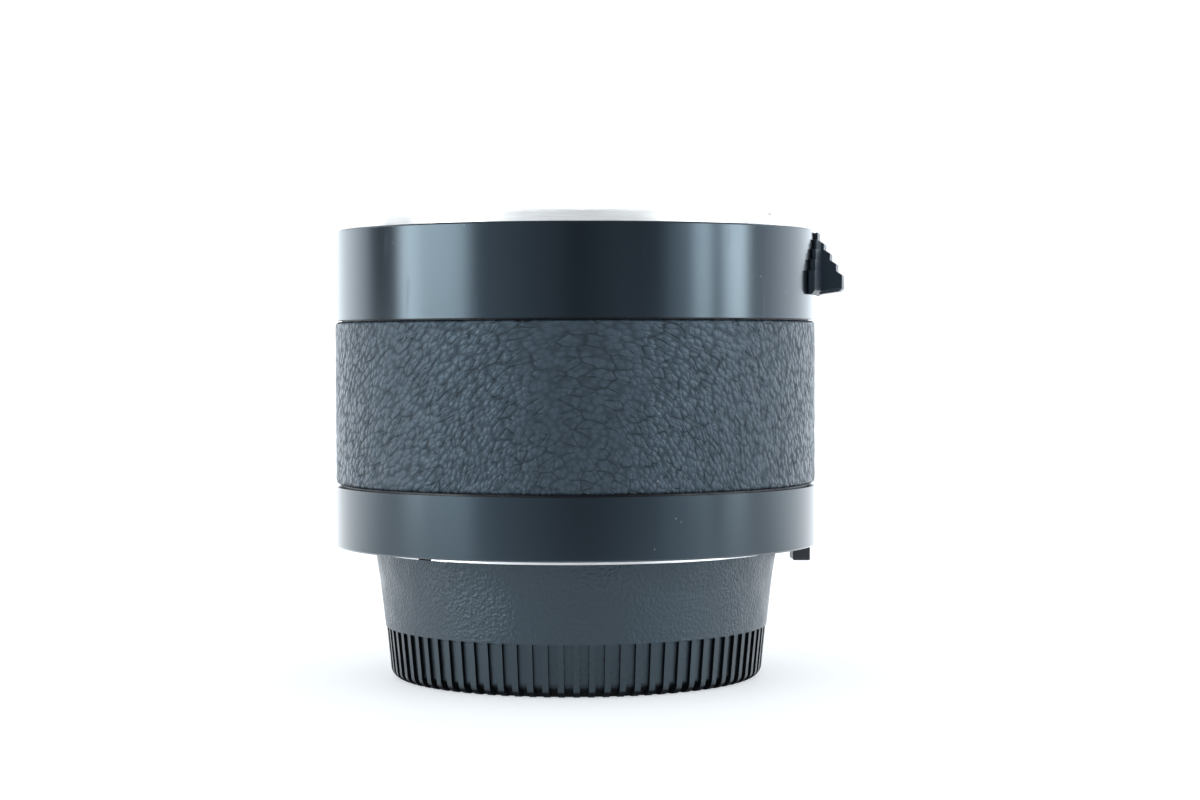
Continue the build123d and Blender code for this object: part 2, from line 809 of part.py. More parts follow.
def release_lever():
    """Stepped thumb lever that slides down the front shell, with the stem that passes through the slot."""
    steps = []
    for tread, reach, root in zip(lever_treads, lever_reaches, lever_roots):
        steps.append(Pos(0, 0, lever_low) * extrude(lever_plan(reach, root), amount=tread - lever_low))
    grip = fused(steps) & lever_side()
    grip = grip - disc(lever_inner, lever_low - overrun, lever_high + overrun)
    grip = chamfer(lever_base_edges(grip), lever_flank_chamfer)
    stem_length = lever_inner + lever_foot_thickness - slider_plate_outer
    stem = Box(stem_length, 2 * slider_half_width, release_stem_height, align=OUTWARD)
    stem = Pos(slider_plate_outer, 0, release_stem_low) * stem
    return Rot(0, 0, release_azimuth) * (grip + stem - release_screw_holes())


# Aperture coupling


def stop_down_ring():
    """Cage that turns inside the chassis, with an inner flange at each end and the moving spring peg."""
    outline = [
        (cage_flange_bore, cage_low),
        (cage_radius, cage_low),
        (cage_radius, cage_high),
        (cage_flange_bore, cage_high),
        (cage_flange_bore, cage_high - cage_flange_height),
        (cage_inner, cage_high - cage_flange_height),
        (cage_inner, cage_low + cage_flange_height),
        (cage_flange_bore, cage_low + cage_flange_height),
    ]
    peg = radial_rod(peg_radius, cell_middle_radius + stop_peg_gap, cage_inner + fuse_depth)
    peg = at(stop_moving_peg_azimuth, 0, stop_spring_height, peg)
    return turned(outline) + peg - arm_screw_holes()


def front_arm_screw_places():
    top = cage_high + arm_thickness
    side = arm_screw_spread_degrees / 2
    return [Rot(0, 0, front_arm_azimuth + turn) * Pos(arm_screw_circle, 0, top) for turn in (-side, side)]


def rear_arm_screw_places():
    seat = Pos(arm_screw_circle, 0, cage_low - arm_thickness) * Rot(180, 0, 0)
    side = arm_screw_spread_degrees / 2
    return [Rot(0, 0, rear_arm_azimuth + turn) * seat for turn in (-side, side)]


def arm_screw_places():
    return front_arm_screw_places() + rear_arm_screw_places()


def arm_screw_holes():
    return [place * screw_hole(arm_screw_length) for place in arm_screw_places()]


def arm_screws():
    return group([place * cheese_screw(arm_screw_length) for place in arm_screw_places()])


def arm_plate(inner, low, azimuth):
    return sector(inner, arm_plate_radius, low, low + arm_thickness, azimuth, arm_plate_degrees)


def stop_down_front_arm():
    """Arm that the lens's aperture lever rests on."""
    plate = arm_plate(front_arm_inner, cage_high, front_arm_azimuth)
    finger = sector(
        front_arm_inner, front_arm_outer, cage_high, front_arm_high, front_arm_azimuth, arm_finger_degrees
    )
    return plate + finger - arm_screw_holes()


def stop_down_rear_arm():
    """Arm that the camera's aperture lever moves."""
    plate = arm_plate(rear_arm_inner, cage_low - arm_thickness, rear_arm_azimuth)
    finger = sector(
        rear_arm_inner, rear_arm_outer, rear_arm_low, cage_low, rear_arm_azimuth, arm_finger_degrees
    )
    return plate + finger - arm_screw_holes()


def stop_down_clip():
    """Open ring in a groove of the chassis that keeps the cage in."""
    degrees = 360 - clip_gap_degrees
    return sector(clip_inner, clip_radius, clip_low, clip_low + clip_height, index_azimuth + 180, degrees)


def stop_down_spring():
    edge = peg_edge_degrees(stop_spring_circle)
    first = stop_fixed_peg_azimuth + edge
    last = stop_moving_peg_azimuth - edge
    return chord_spring(stop_spring_circle, stop_spring_height, first, last, stop_spring_turn_count)


# Meter coupling


def meter_front_ring():
    """Ring round the lens mount that carries the follower."""
    return ring(meter_inner, meter_bar_radius, meter_front_low, meter_front_high)


def meter_follower():
    """Block on the front ring that the lens's aperture ring turns, with a lip over the shell."""
    lip_low = front_shell_high + follower_gap
    outline = [
        (meter_inner, meter_front_high),
        (meter_bar_radius, meter_front_high),
        (meter_bar_radius, lip_low),
        (spigot_bore, lip_low),
        (spigot_bore, follower_high),
        (meter_inner, follower_high),
    ]
    return turned_arc(outline, follower_azimuth, follower_degrees)


def meter_link_bars():
    """Three bars that carry the turn from the front ring to the rear ring."""
    bar = sector(meter_inner, meter_bar_radius, meter_rear_high, meter_front_low, 0, meter_bar_degrees)
    return group(copies(bar, 3, meter_bar_first_azimuth))


def meter_rear_ring():
    """Ring round the camera mount with the ridge that turns the camera's meter coupling."""
    body = ring(meter_inner, meter_rear_radius, meter_rear_low, meter_rear_high)
    root = sector(meter_bar_radius, meter_rear_radius, 0, meter_rear_high, ridge_azimuth, ridge_degrees)
    ridge_outer = meter_rear_radius + ridge_overhang
    ridge_high = rear_shell_rise - running_clearance
    ridge = sector(meter_bar_radius, ridge_outer, -ridge_drop, ridge_high, ridge_azimuth, ridge_degrees)
    ridge = root + fillet(ridge.edges().group_by(Axis.Z)[0], ridge_round)
    peg = disc(peg_radius, meter_rear_high - fuse_depth, meter_rear_high + meter_peg_height)
    return body + ridge + at(meter_moving_peg_azimuth, meter_spring_circle, 0, peg)


def meter_spring():
    edge = peg_edge_degrees(meter_spring_circle)
    first = meter_fixed_peg_azimuth + edge
    last = meter_moving_peg_azimuth - edge
    return chord_spring(meter_spring_circle, meter_spring_height, first, last, meter_spring_turn_count)


# Optics


def arm_slot(inner, outer, low, high, azimuth):
    """Curved slot that lets an arm's finger turn through its full range."""
    margin = 2 * arm_slot_margin_degrees
    degrees = arm_finger_degrees + stop_down_degrees + margin
    return sector(
        inner - moving_clearance, outer + moving_clearance, low, high, azimuth + stop_down_degrees / 2, degrees
    )


def lens_cell():
    """Stepped barrel that holds all the glass, with the flange that seats on the chassis rib."""
    outline = [
        (cell_rear_bore, cell_low),
        (cell_rear_radius, cell_low),
        (cell_rear_radius, cell_middle_low),
        (cell_middle_radius, cell_middle_low),
        (cell_middle_radius, cell_middle_high),
        (cell_front_radius, cell_middle_high),
        (cell_front_radius, rib_high),
        (cell_flange_radius, rib_high),
        (cell_flange_radius, cell_flange_high),
        (cell_front_radius, cell_flange_high),
        (cell_front_radius, cell_high),
        (cell_front_bore, cell_high),
        (cell_front_bore, cell_web_high),
        (cell_web_bore, cell_web_high),
        (cell_web_bore, cell_web_low),
        (cell_rear_bore, cell_web_low),
    ]
    peg = radial_rod(peg_radius, cell_middle_radius - fuse_depth, cage_inner - stop_peg_gap)
    peg = at(stop_fixed_peg_azimuth, 0, stop_spring_height, peg)
    slot_low = rib_high - overrun
    slot = arm_slot(front_arm_inner, front_arm_outer, slot_low, cell_flange_high + overrun, front_arm_azimuth)
    screw_bore = radial_rod(cell_screw_radius + assembly_clearance, rib_bore, chassis_front_bore + overrun)
    screw_bores = copies(Pos(0, 0, cell_screw_height) * screw_bore, 3, cell_screw_first_azimuth)
    return turned(outline) + peg - ([slot] + screw_bores)


def lens_cell_screws():
    """Headless screws through the chassis wall into the edge of the lens cell's flange."""
    outer = chassis_radius - cell_screw_depth
    screw = radial_rod(cell_screw_radius, outer - cell_screw_length, outer)
    slot = Pos(outer, 0, 0) * Box(recess_depth, 2 * cell_screw_radius, recess_width)
    return group(copies(Pos(0, 0, cell_screw_height) * (screw - slot), 3, cell_screw_first_azimuth))


def glass_face(radius, height, bulge):
    """The meridian of one face: a spherical arc from the axis, then the flat seat at the rim."""
    clear = radius - glass_seat_width
    sphere = (clear ** 2 + bulge ** 2) / (2 * abs(bulge))
    half = clear / 2
    fall = math.copysign(sphere - math.sqrt(sphere ** 2 - half ** 2), bulge)
    arc = ThreePointArc((0, 0, height + bulge), (half, 0, height + bulge - fall), (clear, 0, height))
    return [arc, Line((clear, 0, height), (radius, 0, height))]


def glass(radius, low, edge, rear_bulge, front_bulge):
    """One element, from the height of its rear rim, its edge thickness and its two bulges."""
    rim = Line((radius, 0, low), (radius, 0, low + edge))
    axis = Line((0, 0, low + rear_bulge), (0, 0, low + edge + front_bulge))
    faces = glass_face(radius, low, rear_bulge) + glass_face(radius, low + edge, front_bulge)
    return revolve(make_face(faces + [rim, axis]), axis=Axis.Z)


def front_optics():
    """Pieces stacked upwards from the web of the lens cell, each on the one before."""
    radius = cell_front_bore - running_clearance
    low_3 = cell_web_high
    spacer_low = low_3 + element_3_edge
    low_2 = spacer_low + front_spacer_height
    low_1 = low_2 + element_2_edge
    ring_low = low_1 + element_1_edge
    ring_high = ring_low + retaining_ring_height
    return {
        "lens_element_3": glass(radius, low_3, element_3_edge, element_3_rear, element_3_front),
        "front_spacer": ring(radius - spacer_wall, radius, spacer_low, low_2),
        "lens_element_2": glass(radius, low_2, element_2_edge - cement_gap, element_2_rear, element_2_front),
        "lens_element_1": glass(radius, low_1, element_1_edge, element_1_rear, element_1_front),
        "front_retaining_ring": ring(radius - retaining_ring_wall, radius, ring_low, ring_high),
    }


def rear_optics():
    """Pieces stacked downwards from the web of the lens cell, each under the one before."""
    radius = cell_rear_bore - running_clearance
    low_4 = cell_web_low - element_4_edge
    middle_low = low_4 - middle_spacer_height
    low_5 = middle_low - element_5_edge
    low_6 = low_5 - element_6_edge
    rear_low = low_6 - rear_spacer_height
    low_7 = rear_low - element_7_edge
    ring_low = low_7 - retaining_ring_height
    return {
        "lens_element_4": glass(radius, low_4, element_4_edge, element_4_rear, element_4_front),
        "middle_spacer": ring(radius - spacer_wall, radius, middle_low, low_4),
        "lens_element_5": glass(radius, low_5, element_5_edge, element_5_rear, element_5_front),
        "lens_element_6": glass(radius, low_6, element_6_edge - cement_gap, element_6_rear, element_6_front),
        "rear_spacer": ring(radius - spacer_wall, radius, rear_low, low_6),
        "lens_element_7": glass(radius, low_7, element_7_edge, element_7_rear, element_7_front),
        "rear_retaining_ring": ring(radius - retaining_ring_wall, radius, ring_low, low_7),
    }


def front_light_shield():
    """Plate over the front of the optics with the slot for the front arm."""
    outer = chassis_front_bore - running_clearance
    plate = ring(front_shield_bore, outer, cell_high, cell_high + shield_thickness)
    low = cell_high - overrun
    high = cell_high + shield_thickness + overrun
    return plate - arm_slot(front_arm_inner, front_arm_outer, low, high, front_arm_azimuth)


def rear_light_shield():
    """Plate on the inside of the camera mount with the slot for the rear arm."""
    outer = chassis_rear_bore - running_clearance
    high = camera_flange_thickness + shield_thickness
    plate = ring(rear_shield_bore, outer, camera_flange_thickness, high)
    return plate - arm_slot(rear_arm_inner, rear_arm_outer, 0, high + overrun, rear_arm_azimuth)


# Rear cap


def cap_shell():
    """Skirt, floor and hollow of the cap, with the ribbed zone turned down to the groove floor."""
    floor = cap_low + cap_floor
    core_top = cap_rib_top_radius - cap_groove_depth
    core_base = cap_base_radius - cap_groove_depth
    outline = [
        (0, cap_low),
        (core_base - cap_base_round, cap_low),
        (core_base, cap_low + cap_base_round),
        (core_top, cap_rib_top),
        (cap_rib_top_radius, cap_rib_top),
        (cap_mid_radius, cap_rim - cap_mid_drop),
        (cap_rim_radius, cap_rim),
        (cap_bore_radius, cap_rim),
        (cap_bore_radius - cap_bore_taper, floor),
        (0, floor),
    ]
    return turned(outline)


def cap_ribs():
    """Ribs that run from the skirt down and round the corner on to the base."""
    inner = cap_base_radius - cap_groove_depth - cap_base_round - fuse_depth
    inner_top = cap_rib_top_radius - cap_groove_depth - fuse_depth
    base = cap_base_radius - cap_rib_inset
    top = cap_rib_top_radius - cap_rib_inset
    bottom = Line((inner, 0, cap_low), (base - cap_base_round, 0, cap_low))
    bulge = cap_base_round * math.sin(math.radians(45))
    middle = (base - cap_base_round + bulge, 0, cap_low + cap_base_round - bulge)
    corner = ThreePointArc((base - cap_base_round, 0, cap_low), middle, (base, 0, cap_low + cap_base_round))
    side = Line((base, 0, cap_low + cap_base_round), (top, 0, cap_rib_top))
    shoulder = Line((top, 0, cap_rib_top), (inner_top, 0, cap_rib_top))
    back = Line((inner_top, 0, cap_rib_top), (inner, 0, cap_low))
    zone = revolve(make_face([bottom, corner, side, shoulder, back]), axis=Axis.Z)
    star = extrude(rib_star(inner - overrun), amount=cap_rib_height + 2 * overrun)
    return zone & Pos(0, 0, cap_low - overrun) * star


def rib_star(inner):
    """A star-shaped face whose points are as wide as the ribs and as many."""
    outer = cap_rim_radius
    half = cap_rib_width / 2
    points = []
    for index in range(cap_rib_count):
        middle = 2 * math.pi * index / cap_rib_count
        for radius, side in ((inner, -half), (outer, -half), (outer, half), (inner, half)):
            turn = middle + side / radius
            points.append((radius * math.cos(turn), radius * math.sin(turn)))
    return make_face(Polyline(*points, close=True))


def rear_cap():
    """Push-on cap whose three inner tabs pass between the lugs of the camera mount."""
    tab_outer = cap_bore_radius + fuse_depth
    tab_high = cap_rim - cap_tab_drop
    tab = sector(cap_tab_radius, tab_outer, tab_high - cap_tab_thickness, tab_high, 0, cap_tab_degrees)
    first = camera_lug_first_azimuth + 360 / 6
    return fused([cap_shell() + cap_ribs()] + copies(tab, 3, first))


def all_parts():
    parts = {
        "front_shell": front_shell(),
        "rear_shell": rear_shell(),
        "sleeve": sleeve(),
        "sleeve_screws": sleeve_screws(),
        "grip_band": grip_band(),
        "index_dots": index_dots(),
        "chassis": chassis(),
        "lens_mount_ring": lens_mount_ring(),
        "lens_mount_screws": lens_mount_screws(),
        "bayonet_springs": bayonet_springs(),
        "camera_mount_ring": camera_mount_ring(),
        "camera_mount_screws": camera_mount_screws(),
        "lens_cell": lens_cell(),
        "lens_cell_screws": lens_cell_screws(),
        "front_light_shield": front_light_shield(),
        "rear_light_shield": rear_light_shield(),
        "release_lever": release_lever(),
        "release_slider": release_slider(),
        "release_screws": release_screws(),
        "lock_pin": lock_pin(),
        "lock_spring": lock_spring(),
        "stop_down_ring": stop_down_ring(),
        "stop_down_front_arm": stop_down_front_arm(),
        "stop_down_rear_arm": stop_down_rear_arm(),
        "arm_screws": arm_screws(),
        "stop_down_clip": stop_down_clip(),
        "stop_down_spring": stop_down_spring(),
        "meter_front_ring": meter_front_ring(),
        "meter_follower": meter_follower(),
        "meter_link_bars": meter_link_bars(),
        "meter_rear_ring": meter_rear_ring(),
        "meter_spring": meter_spring(),
        "rear_cap": rear_cap(),
    }
    parts.update(front_optics())
    parts.update(rear_optics())
    return parts


os.makedirs("parts", exist_ok=True)
for name, shape in all_parts().items():
    export_step(shape, f"parts/{name}.step")
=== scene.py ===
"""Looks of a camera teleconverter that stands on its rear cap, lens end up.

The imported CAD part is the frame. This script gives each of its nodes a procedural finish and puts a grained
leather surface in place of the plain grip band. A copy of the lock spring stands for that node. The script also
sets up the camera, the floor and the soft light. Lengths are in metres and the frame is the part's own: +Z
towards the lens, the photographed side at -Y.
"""

import json
import logging
import math
from dataclasses import dataclass
from enum import Enum
from typing import Callable, Sequence

import bmesh
import bpy
import numpy as np
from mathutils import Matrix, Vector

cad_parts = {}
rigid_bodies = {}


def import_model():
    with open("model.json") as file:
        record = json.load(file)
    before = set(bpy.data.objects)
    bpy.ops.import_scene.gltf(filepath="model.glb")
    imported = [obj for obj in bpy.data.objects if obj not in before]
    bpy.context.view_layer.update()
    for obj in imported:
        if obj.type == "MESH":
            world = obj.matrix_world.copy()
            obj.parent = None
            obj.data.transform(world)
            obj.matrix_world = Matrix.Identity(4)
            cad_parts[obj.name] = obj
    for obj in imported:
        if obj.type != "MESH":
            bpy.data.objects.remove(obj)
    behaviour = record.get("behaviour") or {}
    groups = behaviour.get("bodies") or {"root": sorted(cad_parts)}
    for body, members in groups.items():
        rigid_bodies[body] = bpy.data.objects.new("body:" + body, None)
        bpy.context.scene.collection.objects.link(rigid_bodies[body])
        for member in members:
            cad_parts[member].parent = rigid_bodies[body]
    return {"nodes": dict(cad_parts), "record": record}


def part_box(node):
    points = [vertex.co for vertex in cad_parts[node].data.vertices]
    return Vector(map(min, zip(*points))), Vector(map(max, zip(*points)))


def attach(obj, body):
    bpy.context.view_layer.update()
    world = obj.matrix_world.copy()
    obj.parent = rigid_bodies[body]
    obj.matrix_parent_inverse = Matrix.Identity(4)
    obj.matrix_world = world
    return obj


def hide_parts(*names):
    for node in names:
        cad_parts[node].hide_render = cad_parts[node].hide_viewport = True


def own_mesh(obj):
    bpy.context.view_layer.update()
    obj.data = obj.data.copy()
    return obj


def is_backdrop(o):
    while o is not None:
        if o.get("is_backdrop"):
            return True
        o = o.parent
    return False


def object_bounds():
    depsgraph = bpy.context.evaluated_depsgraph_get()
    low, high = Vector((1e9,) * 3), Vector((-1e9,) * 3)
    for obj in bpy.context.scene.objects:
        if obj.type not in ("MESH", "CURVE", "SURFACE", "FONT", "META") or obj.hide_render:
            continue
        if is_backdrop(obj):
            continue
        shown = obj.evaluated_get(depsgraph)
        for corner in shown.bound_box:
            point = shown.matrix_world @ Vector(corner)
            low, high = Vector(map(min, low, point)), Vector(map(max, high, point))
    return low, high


LOG = logging.getLogger("teleconverter")
MM = 0.001
Color = tuple[float, float, float]
Socket = bpy.types.NodeSocket
Material = bpy.types.Material


def grey(value: float, blue: float = 0.0) -> Color:
    """A grey that leans to blue.

    Args:
        value: Linear brightness of the green channel.
        blue: Share by which blue rises and red falls.

    Returns:
        Linear red, green and blue.
    """
    return (value * (1 - blue), value, value * (1 + blue))


def toned(color: Color, factor: float) -> Color:
    """A darker or lighter shade of a colour.

    Args:
        color: The colour.
        factor: Factor on its brightness.

    Returns:
        The shade.
    """
    return tuple(factor * part for part in color)


class Graph:
    """Short-hand for building a node tree from formulas."""

    def __init__(self, tree: bpy.types.NodeTree) -> None:
        """Args:
        tree: The node tree to add to.
        """
        self.tree = tree
        self.nodes = tree.nodes

    def add(self, kind: str, **settings: object) -> bpy.types.Node:
        """Adds a node.

        Args:
            kind: Node type without its ShaderNode prefix.
            settings: Properties of the node.

        Returns:
            The new node.
        """
        node = self.nodes.new("ShaderNode" + kind)
        for name, value in settings.items():
            setattr(node, name, value)
        return node

    def put(self, socket: Socket, value: object) -> None:
        """Links a socket to another one, or sets a constant on it.

        Args:
            socket: The input.
            value: An output socket, a number or a tuple.
        """
        if isinstance(value, bpy.types.NodeSocket):
            self.tree.links.new(value, socket)
        elif isinstance(value, tuple) and len(value) == 3 and socket.type == "RGBA":
            socket.default_value = (*value, 1.0)
        else:
            socket.default_value = value

    def math(self, operation: str, *values: object, clamp: bool = False) -> Socket:
        """One Math node.

        Args:
            operation: Blender's name of the operation.
            values: Its operands.
            clamp: Whether the result is kept between 0 and 1.

        Returns:
            The result.
        """
        node = self.add("Math", operation=operation, use_clamp=clamp)
        for socket, value in zip(node.inputs, values):
            self.put(socket, value)
        return node.outputs[0]

    def remap(self, value: object, low: float, high: float, out_low: float, out_high: float) -> Socket:
        """Maps a range smoothly on to another one and clamps it.

        Args:
            value: What is mapped.
            low: Start of the range.
            high: End of the range.
            out_low: Result at the start.
            out_high: Result at the end.

        Returns:
            The mapped value.
        """
        node = self.add("MapRange", interpolation_type="SMOOTHSTEP")
        for socket, number in zip(node.inputs, (value, low, high, out_low, out_high)):
            self.put(socket, number)
        return node.outputs[0]

    def mix(self, factor: object, first: object, second: object) -> Socket:
        """Mixes two colours.

        Args:
            factor: Share of the second one.
            first: Colour at 0.
            second: Colour at 1.

        Returns:
            The mixed colour.
        """
        node = self.add("Mix", data_type="RGBA")
        self.put(node.inputs["Factor"], factor)
        self.put(node.inputs[6], first)
        self.put(node.inputs[7], second)
        return node.outputs[2]

    def place(self, scale: tuple[float, float, float] = (1.0, 1.0, 1.0)) -> Socket:
        """Object coordinates, stretched along each axis.

        Args:
            scale: Factor per axis.

        Returns:
            The coordinates.
        """
        return self.stretch(self.add("TexCoord").outputs["Object"], scale)

    def noise(self, vector: Socket, scale: float, detail: float = 3.0, roughness: float = 0.5) -> Socket:
        """Fractal noise.

        Args:
            vector: Where it is read.
            scale: Waves per unit.
            detail: Octaves.
            roughness: Weight of the fine octaves.

        Returns:
            A value around 0.5.
        """
        node = self.add("TexNoise")
        self.put(node.inputs["Vector"], vector)
        self.put(node.inputs["Scale"], scale)
        self.put(node.inputs["Detail"], detail)
        self.put(node.inputs["Roughness"], roughness)
        return node.outputs[0]

    def cells(self, vector: Socket, scale: float, feature: str = "F1", flat: bool = False) -> Socket:
        """Distance in a random cell pattern.

        Args:
            vector: Where it is read.
            scale: Cells per unit.
            feature: F1 for the nearest point, DISTANCE_TO_EDGE for the border.
            flat: Whether the pattern has only two dimensions.

        Returns:
            The distance in cells.
        """
        node = self.add("TexVoronoi", feature=feature, voronoi_dimensions="2D" if flat else "3D")
        self.put(node.inputs["Vector"], vector)
        self.put(node.inputs["Scale"], scale)
        return node.outputs["Distance"]

    def dust(self, spacing: float, size: float, rarity: float) -> Socket:
        """Places the shared group for dust: small specks in loose groups.

        Args:
            spacing: Mean distance of the specks in a group, in metres.
            size: Radius of a speck in metres.
            rarity: Share of the surface without specks.

        Returns:
            1 on a speck and 0 elsewhere.
        """
        node = self.nodes.new("ShaderNodeGroup")
        given = {"Spacing": spacing, "Size": size, "Rarity": rarity}
        node.node_tree = shared_group("dust", tuple(given), ("Mask",), fill_dust)
        for name, value in given.items():
            self.put(node.inputs[name], value)
        return node.outputs["Mask"]

    def uneven(self, scale: float, low: float, high: float, rise: float = 1.0) -> tuple[Socket, Socket]:
        """Places the shared group for wear: a value that drifts over the surface.

        Args:
            scale: Waves to a metre.
            low: Least value.
            high: Greatest value.
            rise: Factor on the waves along the axis.

        Returns:
            Plain noise around 0.5, and the value.
        """
        node = self.nodes.new("ShaderNodeGroup")
        given = {"Scale": scale, "Rise": rise, "Low": low, "High": high}
        node.node_tree = shared_group("uneven_wear", tuple(given), ("Tone", "Value"), fill_uneven)
        for name, value in given.items():
            self.put(node.inputs[name], value)
        return node.outputs["Tone"], node.outputs["Value"]

    def stretch(self, vector: Socket, scale: Socket | tuple[float, float, float]) -> Socket:
        """A vector multiplied part by part.

        Args:
            vector: The vector.
            scale: Factor per axis.

        Returns:
            The product.
        """
        node = self.add("VectorMath", operation="MULTIPLY")
        self.put(node.inputs[0], vector)
        self.put(node.inputs[1], scale)
        return node.outputs[0]

    def split(self, vector: Socket) -> tuple[Socket, Socket, Socket]:
        """The parts of a vector.

        Args:
            vector: The vector.

        Returns:
            Its x, y and z.
        """
        node = self.add("SeparateXYZ")
        self.put(node.inputs[0], vector)
        return tuple(node.outputs)

    def bump(self, height: Socket, distance: float, strength: float = 1.0) -> Socket:
        """A bumped normal.

        Args:
            height: Height from 0 to 1.
            distance: Metres that a height of 1 stands for.
            strength: Share of the effect.

        Returns:
            The normal.
        """
        node = self.add("Bump")
        self.put(node.inputs["Height"], height)
        self.put(node.inputs["Distance"], distance)
        self.put(node.inputs["Strength"], strength)
        return node.outputs[0]


Sockets = dict[str, Socket]


def shared_group(
    name: str,
    inputs: Sequence[str],
    outputs: Sequence[str],
    fill: Callable[[Graph, Sockets], Sequence[Socket]],
) -> bpy.types.NodeTree:
    """A node group that several materials use, built the first time that it is asked for.

    Args:
        name: Name of the group.
        inputs: Names of its numbers.
        outputs: Names of its results.
        fill: Builds the nodes from the inputs and returns the results in order.

    Returns:
        The group.
    """
    tree = bpy.data.node_groups.get(name)
    if tree is None:
        tree = bpy.data.node_groups.new(name, "ShaderNodeTree")
        for key in inputs:
            tree.interface.new_socket(key, in_out="INPUT", socket_type="NodeSocketFloat")
        for key in outputs:
            tree.interface.new_socket(key, in_out="OUTPUT", socket_type="NodeSocketFloat")
        graph = Graph(tree)
        entry, leave = graph.nodes.new("NodeGroupInput"), graph.nodes.new("NodeGroupOutput")
        for key, result in zip(outputs, fill(graph, {key: entry.outputs[key] for key in inputs})):
            graph.put(leave.inputs[key], result)
    return tree


def fill_dust(graph: Graph, given: Sockets) -> Sequence[Socket]:
    """Specks are the cores of random cells, kept where a slow noise is high.

    Args:
        graph: The group's graph.
        given: Spacing, Size and Rarity.

    Returns:
        The mask of the specks.
    """
    share = graph.math("DIVIDE", given["Size"], given["Spacing"])
    distance = graph.cells(graph.place(), graph.math("DIVIDE", 1.0, given["Spacing"]))
    speck = graph.remap(distance, graph.math("MULTIPLY", share, 0.6), share, 1.0, 0.0)
    start = graph.math("MULTIPLY_ADD", given["Rarity"], 0.2, 0.4)
    group = graph.remap(graph.noise(graph.place(), 90.0, 1.0), start, graph.math("ADD", start, 0.1), 0.0, 1.0)
    return [graph.math("MULTIPLY", speck, group, clamp=True)]


def fill_uneven(graph: Graph, given: Sockets) -> Sequence[Socket]:
    """Noise on coordinates that are stretched along the axis, mapped from its middle range to Low and High.

    Args:
        graph: The group's graph.
        given: Scale, Rise, Low and High.

    Returns:
        The noise and the mapped value.
    """
    factor = graph.add("CombineXYZ")
    for socket, value in zip(factor.inputs, (1.0, 1.0, given["Rise"])):
        graph.put(socket, value)
    tone = graph.noise(graph.stretch(graph.place(), factor.outputs[0]), given["Scale"], 3.0)
    return [tone, graph.remap(tone, 0.3, 0.7, given["Low"], given["High"])]


@dataclass(frozen=True)
class Finish:
    """How a material looks before its texture is added."""

    base: Color
    roughness: float
    metallic: float = 0.0
    specular: float = 0.5
    ior: float = 1.5
    transmission: float = 0.0
    anisotropic: float = 0.0
    sheen_tint: Color = (1.0, 1.0, 1.0)


class Texture(Enum):
    """Which procedural texture a finish carries."""

    MOULDED = "fine moulded plastic with dust"
    POLISHED = "polished paint with specks"
    TURNED = "turned metal with fine rings"
    PAINTED = "matt painted metal"
    GRAINED = "spark-eroded grain"
    WOUND = "drawn wire"
    COATED = "coated glass"
    LEATHER = "leather"


@dataclass(frozen=True)
class CapZones:
    """Where the rear cap's grooves lie, in metres."""

    rib_top: float = -10.2 * MM
    base: float = -17.1 * MM
    crest_radius: float = 25.58 * MM
    slope: float = 0.08
    rim: float = 0.14 * MM
    groove: float = 0.36 * MM
    foot: tuple[float, float] = (0.9 * MM, 2.0 * MM)
    rib_edge: float = 0.3 * MM
    depth: float = 0.13 * MM


@dataclass(frozen=True)
class LeatherGrain:
    """Sizes of the leather's fine grain in metres, its stretches along and across, and a scale per metre."""

    pebble: float = 0.86 * MM
    pebble_stretch: tuple[float, float, float] = (0.82, 1.15, 0.0)
    crack: float = 1.25 * MM
    crack_stretch: tuple[float, float, float] = (0.4, 1.0, 0.0)
    bend: float = 0.5 * MM
    bend_scale: float = 900.0
    # Share, core and edge of the flatter grain in the middle of the front side, where painted highlight and
    # shade are weaker.
    flat_front_share: float = 0.55
    flat_front_core: float = 2.0 * MM
    flat_front_edge: float = 12.0 * MM
    depth: float = 0.105 * MM


CAP = CapZones()
LEATHER = LeatherGrain()

Relief = Callable[[Graph, bpy.types.Node, Finish], None]


def relief_polished(graph: Graph, shader: bpy.types.Node, finish: Finish) -> None:
    """Gloss paint: faint waviness, a few dust specks and faint rubs.

    Args:
        graph: The material's graph.
        shader: Its Principled node.
        finish: The finish in use.
    """
    wave = graph.noise(graph.place(), 240.0, 2.0)
    dust = graph.dust(1.8 * MM, 0.1 * MM, 0.8)
    smear = graph.noise(graph.place((1.0, 1.0, 0.12)), 900.0, 2.0)
    rub = graph.remap(smear, 0.62, 0.78, 0.0, 1.0)
    graph.put(shader.inputs["Base Color"], graph.mix(dust, finish.base, grey(0.2)))
    rough = graph.math("MULTIPLY_ADD", rub, 0.05, finish.roughness)
    graph.put(shader.inputs["Roughness"], graph.math("MULTIPLY_ADD", dust, 0.3, rough))
    graph.put(shader.inputs["Normal"], graph.bump(wave, 0.02 * MM, 0.25))


def relief_moulded(graph: Graph, shader: bpy.types.Node, finish: Finish) -> None:
    """Semi-gloss moulded plastic.

    Args:
        graph: The material's graph.
        shader: Its Principled node.
        finish: The finish in use.
    """
    grain = graph.noise(graph.place(), 2600.0, 3.0)
    _, rough = graph.uneven(420.0, finish.roughness - 0.06, finish.roughness + 0.06)
    graph.put(shader.inputs["Roughness"], rough)
    graph.put(shader.inputs["Normal"], graph.bump(grain, 0.03 * MM, 0.35))


